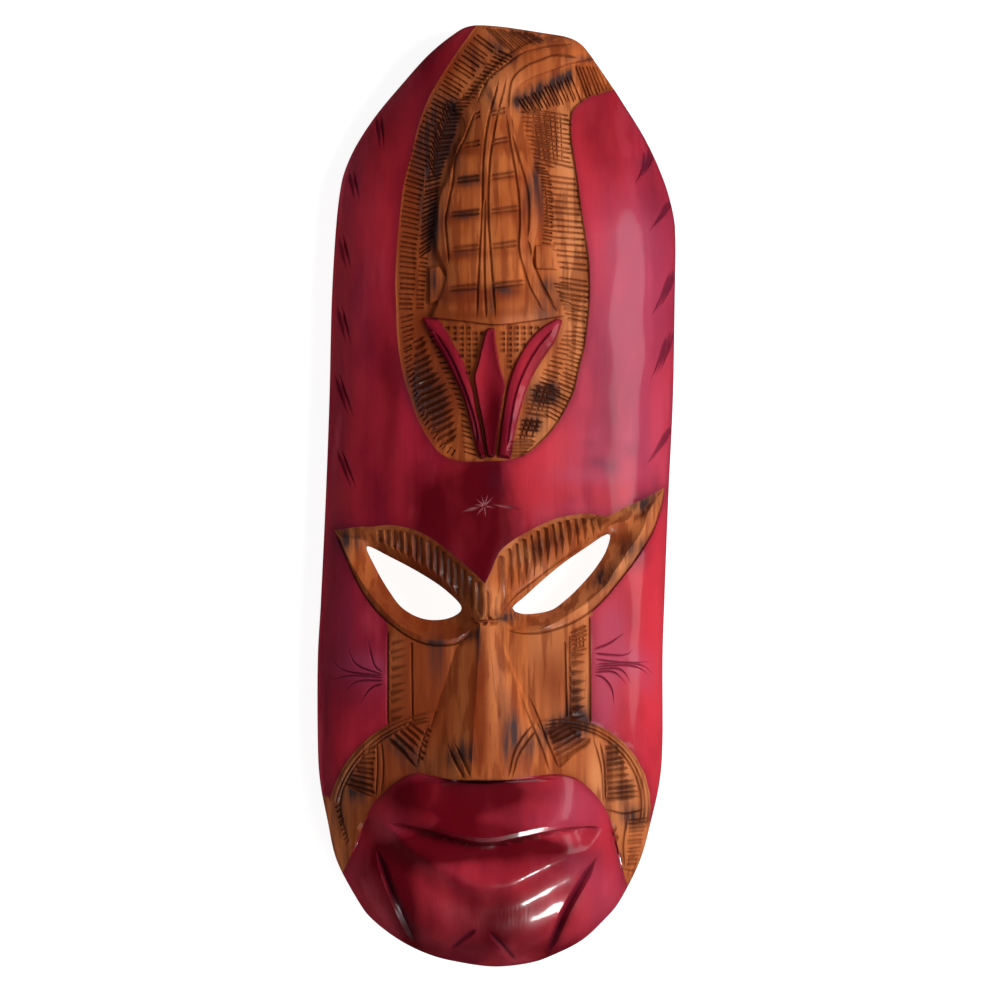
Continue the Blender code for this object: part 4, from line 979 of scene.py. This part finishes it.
SCORCHES = [
    (119, 30, 11, 10, 0.5), (143, 49, 9, 9, 0.4), (100, 55, 9, 6, 0.4), (-161, 369, 6, 17, 0.3, 20),
    (-161, -153, 5, 32, 0.3), (-57, 386, 14, 29, 1.3, -12), (-72, 353, 9, 17, 0.5),
    (-72, 299, 9, 36, 0.8), (-22, 462, 17, 11, 0.5, -35), (74, -248, 28, 11, 1, 15),
    (83, -211, 5, 28, 0.6), (-70, 108, 15, 32, 0.8, 20), (55, 111, 13, 10, 1), (38, 77, 11, 9, 0.7),
    (55, 198, 9, 21, 0.5, -30), (-19, -153, 4, 21, 0.5), (47, 315, 4, 28, 0.6), (134, -312, 13, 13, 0.5),
    (-153, -312, 13, 13, 0.6), (153, -68, 9, 15, 0.4, -40), (-68, 369, 15, 38, 1, -8),
    (-52, 409, 15, 13, 0.5), (-66, 286, 10, 28, 0.7), (4, 473, 23, 9, 0.55, -35),
    (33, 490, 28, 7, 0.5, -10), (26, 418, 10, 9, 1, 20), (44, 427, 14, 10, 1, 30),
    (64, 439, 15, 7, 0.9, 25), (78, 447, 9, 7, 0.6, 25), (93, 464, 15, 3, 0.6),
    (38, 326, 6, 28, 0.7, -10), (-64, 225, 10, 17, 0.7), (55, 223, 10, 10, 0.6),
    (-83, 108, 13, 32, 0.6, 25), (48, 106, 15, 11, 0.8), (33, 76, 13, 15, 0.4), (-32, 334, 13, 6, 0.8, 5),
    (-36, 297, 14, 4, 0.8, 5), (-40, 352, 6, 13, 0.5), (7, 218, 13, 5, 0.8, -8), (-6, 202, 3, 9, 0.6),
    (-34, 256, 11, 3, 0.5, 5), (-34, 216, 13, 4, 0.4, 5), (-6, 422, 3, 13, 0.7, 15),
    (-159, -47, 13, 13, 1, 45), (154, -7, 15, 10, 0.9, 35), (145, -54, 13, 10, 0.9, 40),
    (114, -85, 15, 10, 1, 35), (169, 12, 7, 15, 0.6), (16, -127, 11, 7, 0.8), (-28, -146, 9, 4, 0.8, 20),
    (-65, -155, 11, 3, 0.7), (1, -128, 13, 3, 0.6), (52, -52, 23, 9, 0.45, 25),
    (76, -237, 23, 11, 0.9, 20), (20, -246, 10, 19, 0.8, 15), (36, -264, 10, 13, 0.6),
    (123, -275, 9, 15, 0.5), (146, -339, 15, 11, 0.8), (-104, -263, 17, 9, 0.8, -40),
    (-41, -272, 11, 17, 0.9, -30), (-26, -272, 4, 11, 0.6), (-148, -302, 13, 19, 0.6, 20),
    (-166, -339, 9, 15, 0.6), (4, -185, 5, 32, 0.25), (13, -264, 7, 17, 0.7), (10, -216, 5, 21, 0.4),
    (-84, -280, 15, 15, 0.5), (-63, -169, 7, 23, 0.6), (155, 353, 9, 11, 0.5), (105, 37, 13, 9, 0.6),
    (-1, 18, 9, 15, 0.35),
]
BROWNED = [
    (-102, 262, 5, 128, 0.6), (-88, 379, 6, 64, 0.6, -15), (-53, 452, 9, 49, 0.6, -38),
    (96, 220, 4, 96, 0.3), (-19, -216, 6, 64, 1), (-68, -185, 14, 47, 1), (-35, 369, 17, 7, 0.7),
    (4, 372, 15, 5, 0.6), (-28, 209, 28, 9, 0.6), (10, 209, 28, 9, 0.6), (-70, 464, 21, 74, 0.5, -35),
    (-91, 337, 15, 96, 0.6, -5), (55, -179, 23, 43, 0.5), (10, -254, 11, 28, 0.5),
    (-102, -216, 32, 64, 0.5), (-33, 331, 23, 6, 0.7, 5), (-33, 295, 23, 6, 0.8, 5),
    (-33, 255, 26, 6, 0.8, 5), (-33, 214, 26, 7, 0.8, 5), (-28, 363, 19, 5, 0.6, 5),
    (-32, 191, 32, 6, 0.6), (17, 366, 17, 4, 0.5, 5), (17, 336, 19, 4, 0.5, 5), (17, 298, 21, 4, 0.6, 5),
    (17, 258, 21, 5, 0.6, 5), (17, 218, 21, 6, 0.7, 5), (17, 194, 30, 5, 0.5), (-76, -179, 17, 53, 0.9),
    (-49, -144, 32, 9, 0.9), (-102, -110, 26, 21, 0.7, 40), (-60, 103, 36, 53, 0.6),
    (-81, 166, 21, 53, 0.5), (-13, -238, 7, 74, 0.6), (-49, 262, 11, 74, 0.5),
    (137, -46, 15, 11, 0.7, -40), (63, 166, 21, 64, 0.25), (63, -206, 15, 36, 0.5),
    (26, -280, 21, 19, 0.5), (-76, 464, 64, 128, 0.25), (-91, 273, 23, 149, 0.55),
    (-81, 103, 28, 64, 0.6), (-70, -206, 64, 96, 0.5), (-123, -99, 64, 53, 0.6),
    (-123, -302, 53, 64, 0.7), (-60, -78, 53, 43, 0.6), (-145, -355, 43, 43, 0.4), (4, 464, 64, 32, 0.3),
    (-49, 124, 26, 43, 0.35), (-28, 188, 32, 106, 0.2),
]
# These blots darken the crimson to maroon: where the dye lies thick, and as painted shade in the upper lip,
# the mouth hollow and high on the right of the forehead.
DEEP_DYE_AND_PAINTED_SHADE = [
    (-30, -55, 64, 36, 1), (-17, -84, 15, 21, 1), (-28, -12, 49, 26, 0.6), (-60, 154, 11, 32, 1, 32),
    (-30, 87, 9, 43, 1, 15), (-4, 76, 10, 38, 0.8), (50, 151, 9, 32, 0.7, -30), (-49, -312, 64, 19, 0.9),
    (-60, -363, 53, 17, 1, 12), (-17, -371, 43, 17, 0.9), (52, -368, 43, 9, 0.8, -12),
    (-17, -456, 64, 28, 0.5), (-102, -408, 17, 53, 0.6, 18), (-94, -457, 9, 36, 0.8, 18),
    (73, -445, 5, 43, 0.9, -25), (60, -408, 43, 11, 0.3, -20), (-102, 401, 64, 64, 0.5),
    (-38, -41, 49, 43, 1), (-44, 9, 64, 21, 0.6), (-17, 28, 21, 43, 0.7), (-44, -321, 64, 21, 1),
    (4, -312, 64, 13, 0.6), (-49, -368, 64, 15, 1, 12), (26, -376, 74, 13, 0.5, -14),
    (-102, -429, 43, 43, 0.3), (-49, 103, 11, 64, 0.6), (-1, 81, 11, 53, 0.5), (-161, -195, 26, 43, 0.4),
    (-166, -68, 21, 53, 0.4), (-70, 486, 43, 43, 0.4), (-107, 491, 53, 64, 0.3), (2, -431, 53, 21, 0.4),
    (4, -472, 64, 15, 0.3), (100, 401, 21, 43, 0.3), (-81, -493, 64, 17, 0.4), (-113, 103, 11, 74, 0.6),
    (-132, -376, 15, 43, 0.4), (68, -488, 32, 15, 0.5), (121, 71, 9, 64, 0.3),
    (123, 385, 47, 64, 0.42, 20), (169, 326, 17, 43, 0.3),
]
# These blots lighten the dye and the stain: where they lie thin, as painted light on the right of the upper
# lip and on the lower lip, and as a painted highlight on the bridge between the brows.
BRIGHT_AND_PAINTED_LIGHT = [
    (-129, 315, 21, 64, 0.35), (-150, 81, 15, 64, 0.3), (-118, 113, 9, 64, 0.4), (-155, -4, 32, 21, 0.3),
    (-129, -264, 11, 21, 0.3), (-86, 454, 9, 43, 0.4, -40), (-100, 299, 5, 53, 0.3),
    (-60, 432, 11, 21, 0.4, -35), (89, 177, 11, 53, 0.6), (36, 156, 17, 32, 0.5), (41, 60, 21, 15, 0.5),
    (-6, -110, 15, 15, 0.8), (134, -68, 23, 23, 0.7, -50), (84, -110, 32, 17, 0.6, -30),
    (36, -68, 43, 13, 0.7, -35), (52, -153, 17, 32, 0.6), (60, -216, 11, 32, 0.4),
    (-4, -206, 10, 85, 0.5), (-104, -195, 13, 53, 0.5), (-102, -264, 26, 17, 0.4),
    (105, -291, 9, 32, 0.5), (96, -206, 3, 43, 0.6), (121, -302, 21, 43, 0.3), (68, 390, 21, 43, 0.4),
    (36, 18, 43, 17, 0.7, 10), (132, -4, 32, 15, 0.6, -20), (4, -408, 43, 11, 0.5, -10),
    (-17, -339, 21, 9, 0.8), (47, -318, 21, 13, 0.8), (-28, -387, 32, 11, 0.6, 10),
    (36, -466, 26, 15, 0.7), (-60, -461, 13, 13, 0.6), (169, -259, 13, 64, 0.5), (111, 262, 11, 64, 0.6),
    (84, 55, 32, 21, 0.7, -40), (-107, 44, 21, 32, 0.5), (-134, 411, 15, 43, 0.4, 20),
    (77, 284, 17, 85, 0.9), (79, 369, 13, 32, 0.6), (84, 188, 15, 53, 0.8), (52, 103, 17, 32, 0.5),
    (111, -110, 15, 13, 0.5), (68, -163, 21, 32, 0.25), (164, -153, 17, 128, 0.6),
    (63, -323, 28, 11, 0.7), (84, -360, 32, 9, 0.4, -20), (47, 15, 49, 23, 0.9, 20),
    (-102, 390, 10, 64, 0.45, -12), (-120, 262, 21, 128, 0.35), (-155, -291, 19, 64, 0.55),
    (-102, 188, 9, 64, 0.4), (153, -110, 28, 64, 0.5), (68, 18, 64, 32, 0.5), (123, 358, 28, 43, 0.35),
    (153, -206, 28, 74, 0.4), (-28, -435, 43, 23, 0.4), (26, -387, 43, 15, 0.4, -20),
    (100, -461, 43, 32, 0.45), (100, 315, 15, 85, 0.4), (-102, -4, 17, 32, 0.3), (-60, -312, 17, 15, 0.5),
    (47, -312, 32, 13, 0.4), (68, -435, 53, 32, 0.35), (10, -4, 11, 32, 0.5), (126, 18, 21, 43, 0.5, -30),
    (57, -359, 32, 9, 0.6, -8), (-2, 432, 28, 23, 0.5), (132, -323, 32, 53, 0.35),
    (-102, -296, 32, 26, 0.35), (47, 422, 32, 17, 0.3), (84, -206, 13, 43, 0.3), (68, 103, 26, 43, 0.35),
    (-17, -429, 64, 21, 0.35),
]
# These blots tint the crimson plum and lilac: plum stain in places, and a painted lilac sheen on the right
# of the forehead.
PLUM_AND_PAINTED_SHEEN = [
    (68, -323, 28, 21, 0.5), (4, -323, 28, 17, 0.4), (84, -387, 28, 17, 0.6, -30),
    (-60, -376, 43, 11, 0.3, 15), (-113, -355, 15, 26, 0.5), (164, 28, 17, 43, 0.5),
    (-161, -110, 17, 64, 0.4), (111, -216, 13, 64, 0.5), (100, 23, 43, 9, 0.6),
    (-166, 379, 21, 64, 0.4, 20), (-145, 209, 15, 85, 0.3), (121, -440, 32, 32, 0.4, -40),
    (-107, -435, 21, 43, 0.3, 15), (-139, -182, 28, 13, 1), (134, -174, 28, 15, 1),
    (123, -137, 13, 21, 0.6), (159, -195, 13, 17, 0.5), (143, 284, 43, 53, 0.5), (111, 177, 64, 117, 0.6),
    (153, 81, 43, 64, 0.5), (113, 49, 28, 28, 0.9), (123, -153, 23, 53, 0.6), (-145, -185, 38, 32, 0.5),
    (89, -323, 28, 21, 0.5), (111, -408, 28, 43, 0.3), (153, 220, 38, 96, 0.6), (-107, 432, 43, 43, 0.35),
    (84, -25, 32, 17, 0.5), (118, -216, 11, 43, 0.6), (52, -344, 53, 9, 0.4),
]
mark("cut", np.concatenate([darkest, np.zeros(len(used_back))]))
for name, blots in (
    ("scorch", SCORCHES), ("browned", BROWNED), ("deep_dye_and_painted_shade", DEEP_DYE_AND_PAINTED_SHADE), ("bright_and_painted_light", BRIGHT_AND_PAINTED_LIGHT), ("plum_and_painted_sheen", PLUM_AND_PAINTED_SHEEN),
):
    mark(name, sum(blot(*one) for one in blots))
mark("scratched", blot(*STAR, 20, 20, 1.3))

GOLDEN_FACE = np.concatenate([
    BROW, RIGHT_RIM[RIGHT_RIM[:, 0] > on_grid([(LADDER_RIGHT, 0)])[0, 0]],
    on_grid([(LADDER_RIGHT, -125), (LADDER_RIGHT, -240)]), on_grid(arc(RIGHT_DISC, RIGHT_RADIUS, 70, -10)),
    on_grid([(230, -350), (230, -416)]), MUZZLE[::-1], on_grid([(-230, -399), (-230, -320)]),
    on_grid(arc(LEFT_DISC, LEFT_RADIUS, 165, 117)), on_grid([(LADDER_LEFT, -243), (LADDER_LEFT, -130)]),
    LEFT_RIM[LEFT_RIM[:, 0] < on_grid([(LADDER_LEFT, 0)])[0, 0]][::-1],
])
seen = np.array([plan[face].mean(axis=0) for face in faces[:len(front_faces)]])
golden = within(seen, GOLDEN_FACE) | within(seen, PANEL)
for loop in (LEFT_JAW, RIGHT_JAW, TONGUE):
    golden &= ~within(seen, loop)
edge_lines = [ring(GOLDEN_FACE), LEFT_PANEL, RIGHT_PANEL, ring(LEFT_JAW), ring(RIGHT_JAW), ring(TONGUE)]
from_dye = np.min([away(plan, line) for line in edge_lines], axis=0)
mark("edge", 1 - from_dye / DYE_EDGE)

CRIMSON, GOLDEN, BARE = 0, 1, 2
A_LITTLE_INWARDS = 0.99
outer_walls = len(faces) + len(loops[0])
wall_middles = np.array([plan[wall].mean(axis=0) for wall in walls])
kinds = np.full(len(faces) + len(walls), BARE)
kinds[:len(front_faces)] = np.where(golden, GOLDEN, CRIMSON)
kinds[len(faces):] = np.where(within(wall_middles * A_LITTLE_INWARDS, PANEL), GOLDEN, CRIMSON)
kinds[outer_walls:] = GOLDEN


def node(tree, kind, **settings):
    """A shader node with its settings."""
    made = tree.nodes.new(kind)
    for name, value in settings.items():
        setattr(made, name, value)
    return made


def fill(tree, socket, value):
    """Gives a socket its value: a link where it comes from another node, or else a plain one."""
    if isinstance(value, bpy.types.NodeSocket):
        tree.links.new(value, socket)
    else:
        socket.default_value = value


def mixed(tree, share, first, second):
    """A colour mixed from two others."""
    mix = node(tree, "ShaderNodeMix", data_type="RGBA")
    sockets = {socket.identifier: socket for socket in (*mix.inputs, *mix.outputs)}
    fill(tree, sockets["Factor_Float"], share)
    fill(tree, sockets["A_Color"], first)
    fill(tree, sockets["B_Color"], second)
    return sockets["Result_Color"]


def worked(tree, operation, *values, clamp=False):
    """The result of a sum on numbers and sockets."""
    maths = node(tree, "ShaderNodeMath", operation=operation, use_clamp=clamp)
    for socket, value in zip(maths.inputs, values):
        fill(tree, socket, value)
    return maths.outputs[0]


def noise(tree, place, scale, detail, stretch):
    """A noise that is longer the smaller its stretch is, so that it can run along the grain."""
    mapping = node(tree, "ShaderNodeMapping")
    fill(tree, mapping.inputs["Vector"], place)
    fill(tree, mapping.inputs["Scale"], stretch)
    texture = node(tree, "ShaderNodeTexNoise")
    fill(tree, texture.inputs["Vector"], mapping.outputs[0])
    fill(tree, texture.inputs["Scale"], scale)
    fill(tree, texture.inputs["Detail"], detail)
    return texture.outputs["Fac"]


def stretched(tree, value, low, high):
    """A value between low and high, brought to the range from 0 to 1."""
    spread_out = node(tree, "ShaderNodeMapRange", interpolation_type="SMOOTHSTEP")
    for name, filling in (("Value", value), ("From Min", low), ("From Max", high)):
        fill(tree, spread_out.inputs[name], filling)
    return spread_out.outputs[0]


def marked(tree, name):
    """How strong one of the marks on the mesh is."""
    return node(tree, "ShaderNodeAttribute", attribute_name=name).outputs["Fac"]


PATTERNS = (
    ("Streaks", 420, 5, (1, 0.05, 0.25), 0.32, 0.68), ("Bands", 90, 3, (1, 0.07, 0.4), 0.32, 0.68),
    ("Blotches", 34, 4, (1, 0.55, 1), 0.3, 0.7), ("Patches", 17, 6, (1, 0.40, 1), 0.46, 0.56),
    ("Specks", 210, 3, (1, 0.11, 0.6), 0.49, 0.60), ("Scuffs", 48, 8, (1, 0.22, 1), 0.53, 0.64),
)


def wood_grain():
    """The patterns of the wood for all the finishes, and the height of its surface."""
    tree = bpy.data.node_groups.new("wood grain", "ShaderNodeTree")
    for name in [pattern[0] for pattern in PATTERNS] + ["Height"]:
        tree.interface.new_socket(name, in_out="OUTPUT", socket_type="NodeSocketFloat")
    ends = node(tree, "NodeGroupOutput")
    place = node(tree, "ShaderNodeTexCoord").outputs["Object"]
    for name, scale, detail, stretch, low, high in PATTERNS:
        fill(tree, ends.inputs[name], stretched(tree, noise(tree, place, scale, detail, stretch), low, high))
    pores = worked(tree, "MULTIPLY", noise(tree, place, 900, 3, (1, 0.08, 0.3)), 0.3)
    fill(tree, ends.inputs["Height"], worked(tree, "ADD", pores, noise(tree, place, 60, 2, (1, 0.5, 1))))
    return tree


GRAIN = wood_grain()
COAT_ROUGHNESS, COAT_IOR = 0.10, 1.5
SMOOTHER, ROUGHER = -0.05, 0.08


def varnished(name, roughness, coat, bump_height):
    """A new finish with the grain's bump on it, and what its colour is made from."""
    finish = bpy.data.materials.new(name)
    finish.use_nodes = True
    tree = finish.node_tree
    surface = tree.nodes["Principled BSDF"]
    grain = node(tree, "ShaderNodeGroup", node_tree=GRAIN)
    surface.inputs["Coat Roughness"].default_value = COAT_ROUGHNESS
    surface.inputs["Coat IOR"].default_value = COAT_IOR
    surface.inputs["Coat Weight"].default_value = coat
    rough = node(tree, "ShaderNodeMapRange")
    fill(tree, rough.inputs["Value"], grain.outputs["Blotches"])
    fill(tree, rough.inputs["To Min"], roughness + SMOOTHER)
    fill(tree, rough.inputs["To Max"], roughness + ROUGHER)
    fill(tree, surface.inputs["Roughness"], rough.outputs[0])
    bump = node(tree, "ShaderNodeBump")
    bump.inputs["Distance"].default_value = bump_height
    fill(tree, bump.inputs["Height"], grain.outputs["Height"])
    fill(tree, surface.inputs["Normal"], bump.outputs[0])
    return finish, tree, surface, grain.outputs


def layered(tree, colour, layers):
    """A colour under layers of others: each has a place, how strong it is there, and its colour."""
    for place, strength, tint in layers:
        share = worked(tree, "MULTIPLY", place, strength, clamp=True)
        colour = mixed(tree, share, colour, (*tint, 1))
    return colour


def crimson_dye():
    """Crimson dye under varnish: maroon where it lies thick, red where it is thin, plum in places, with
    painted shade in the cuts, the upper lip and the mouth, painted light on the lips and a painted lilac
    sheen on the forehead.
    """
    finish, tree, surface, grain = varnished("crimson_dye", 0.34, 0.13, 0.0003)
    surface.inputs["Specular IOR Level"].default_value = 0.04
    colour = mixed(tree, grain["Blotches"], (0.21, 0.006, 0.019, 1), (0.38, 0.014, 0.034, 1))
    # The red layer is thin dye, and painted light on the upper and lower lip.
    bright_strength = worked(tree, "ADD", grain["Blotches"], 0.35)
    # The maroon layer is thick dye, and painted shade in the upper lip, the mouth and high on the right.
    deep_strength = worked(tree, "SUBTRACT", 1.35, worked(tree, "MULTIPLY", grain["Blotches"], 0.6))
    scratched = marked(tree, "scratched")
    # In the cuts the crimson is darkened almost to black as painted shade, less in the scratched star.
    painted_cut_shade = worked(tree, "SUBTRACT", 0.65, scratched, clamp=True)
    colour = layered(tree, colour, (
        (grain["Patches"], 0.7, (0.43, 0.020, 0.028)),
        (grain["Bands"], 0.5, (0.15, 0.005, 0.020)),
        (grain["Streaks"], 0.16, (0.44, 0.02, 0.05)),
        (grain["Scuffs"], 0.5, (0.50, 0.045, 0.075)),
        (marked(tree, "bright_and_painted_light"), bright_strength, (0.48, 0.024, 0.038)),
        # The lilac layer is plum stain, and a painted varnish sheen on the right of the forehead.
        (marked(tree, "plum_and_painted_sheen"), 0.6, (0.36, 0.052, 0.105)),
        (marked(tree, "deep_dye_and_painted_shade"), deep_strength, (0.105, 0.0016, 0.006)),
        (marked(tree, "edge"), 0.40, (0.10, 0.006, 0.014)),
        (marked(tree, "cut"), painted_cut_shade, (0.05, 0.003, 0.014)),
        (marked(tree, "cut"), scratched, (0.42, 0.13, 0.15)),
        (marked(tree, "scorch"), 0.7, (0.05, 0.012, 0.03)),
    ))
    fill(tree, surface.inputs["Base Color"], colour)
    return finish


def golden_stain():
    """Golden brown stain: orange on flat wood, brown where it pooled or was heated, black in cuts, and a
    painted highlight on the bridge between the brows.
    """
    finish, tree, surface, grain = varnished("golden_stain", 0.45, 0.01, 0.0003)
    surface.inputs["Specular IOR Level"].default_value = 0.025
    colour = mixed(tree, grain["Blotches"], (0.38, 0.078, 0.016, 1), (0.58, 0.160, 0.042, 1))
    patchy = worked(tree, "ADD", grain["Streaks"], 0.55)
    darker = worked(tree, "ADD", 0.43, marked(tree, "scorch"))
    colour = layered(tree, colour, (
        (grain["Streaks"], 0.62, (0.20, 0.032, 0.008)),
        (grain["Bands"], 0.45, (0.60, 0.20, 0.065)),
        (grain["Patches"], 0.35, (0.26, 0.045, 0.010)),
        # The lighter layer includes a painted highlight on the bridge between the brows.
        (marked(tree, "bright_and_painted_light"), 0.9, (0.66, 0.24, 0.090)),
        (marked(tree, "browned"), 0.85, (0.17, 0.024, 0.006)),
        (marked(tree, "edge"), 0.30, (0.13, 0.025, 0.008)),
        (grain["Specks"], 0.6, (0.17, 0.026, 0.007)),
        (marked(tree, "scorch"), patchy, (0.046, 0.022, 0.021)),
        (marked(tree, "cut"), darker, (0.062, 0.013, 0.005)),
    ))
    fill(tree, surface.inputs["Base Color"], colour)
    return finish


def bare_wood():
    """The hollow back: raw, dry wood, darkened by age and streaked along its grain."""
    finish, tree, surface, grain = varnished("bare_wood", 0.72, 0.0, 0.0006)
    colour = mixed(tree, grain["Blotches"], (0.36, 0.20, 0.10, 1), (0.50, 0.31, 0.17, 1))
    colour = layered(tree, colour, (
        (grain["Streaks"], 0.5, (0.22, 0.11, 0.05)),
        (grain["Bands"], 0.3, (0.58, 0.40, 0.24)),
    ))
    fill(tree, surface.inputs["Base Color"], colour)
    return finish


for finish in (crimson_dye(), golden_stain(), bare_wood()):
    mesh.materials.append(finish)
mesh.polygons.foreach_set("material_index", kinds.astype(np.int32))
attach(carved_mask, "root")
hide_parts("mask")


# The mask lies on a plain white table that glows softly, as a light table does, so that the eye
# holes show white. A wide window on the right lights it. Two soft panes, one low beside the forehead
# and one over the chin, show only as the shine of the varnish.
TABLE_SIZE, TABLE_GREY, TABLE_GLOW, TABLE_ROUGHNESS = 6.0, 0.28, 0.90, 0.9
ROOM_GLOW = 0.24
LIT_POINT = Vector((0, 0, 0.03))
bpy.ops.object.select_all(action="DESELECT")
bpy.ops.mesh.primitive_plane_add(size=TABLE_SIZE, location=(0, 0, 0))
table = bpy.context.object
table.name = "table"
paper = bpy.data.materials.new("white_paper")
paper.use_nodes = True
surface = paper.node_tree.nodes["Principled BSDF"]
surface.inputs["Base Color"].default_value = (TABLE_GREY, TABLE_GREY, TABLE_GREY, 1)
surface.inputs["Roughness"].default_value = TABLE_ROUGHNESS
surface.inputs["Emission Color"].default_value = (1, 1, 1, 1)
surface.inputs["Emission Strength"].default_value = TABLE_GLOW
table.data.materials.append(paper)
table.visible_glossy = False


def window(name, place, width, height, watts):
    """A soft oval light that faces the middle of the mask."""
    light = bpy.data.lights.new(name, "AREA")
    light.shape = "ELLIPSE"
    light.size, light.size_y = width, height
    light.energy = watts
    lamp = bpy.data.objects.new(name, light)
    lamp.location = place
    lamp.rotation_euler = (LIT_POINT - Vector(place)).to_track_quat("-Z", "Y").to_euler()
    bpy.context.scene.collection.objects.link(lamp)
    return lamp


window("right_window", (1.15, 0.20, 1.30), 0.8, 0.8, 33).visible_glossy = False
window("forehead_pane", (0.72, 0.12, 0.42), 0.56, 0.36, 5.2).visible_diffuse = False
window("chin_pane", (0.46, -0.84, 0.72), 0.44, 0.32, 70).visible_diffuse = False
world = bpy.data.worlds.new("studio")
world.use_nodes = True
world.node_tree.nodes["Background"].inputs["Color"].default_value = (1, 1, 1, 1)
world.node_tree.nodes["Background"].inputs["Strength"].default_value = ROOM_GLOW
bpy.context.scene.world = world
world.cycles_visibility.glossy = False
bpy.context.scene.view_settings.view_transform = "Standard"


# The camera looks straight down on the mask from far off, with the crown at the top of the picture.
CAMERA_DISTANCE = 5.0
SENSOR = 36.0
PICTURE_HEIGHT, MASK_IN_PICTURE = 995, 940
LEVEL_IN_FOCUS = 0.012
OFF_MIDDLE = (0.0003, -0.0005)
camera = bpy.data.cameras.new("camera")
camera.sensor_width = SENSOR
camera.lens = SENSOR * CAMERA_DISTANCE / (MASK_LENGTH * PICTURE_HEIGHT / MASK_IN_PICTURE)
camera.clip_end = 20
tripod = bpy.data.objects.new("camera", camera)
tripod.location = (OFF_MIDDLE[0], OFF_MIDDLE[1], CAMERA_DISTANCE + LEVEL_IN_FOCUS)
bpy.context.scene.collection.objects.link(tripod)
bpy.context.scene.camera = tripod
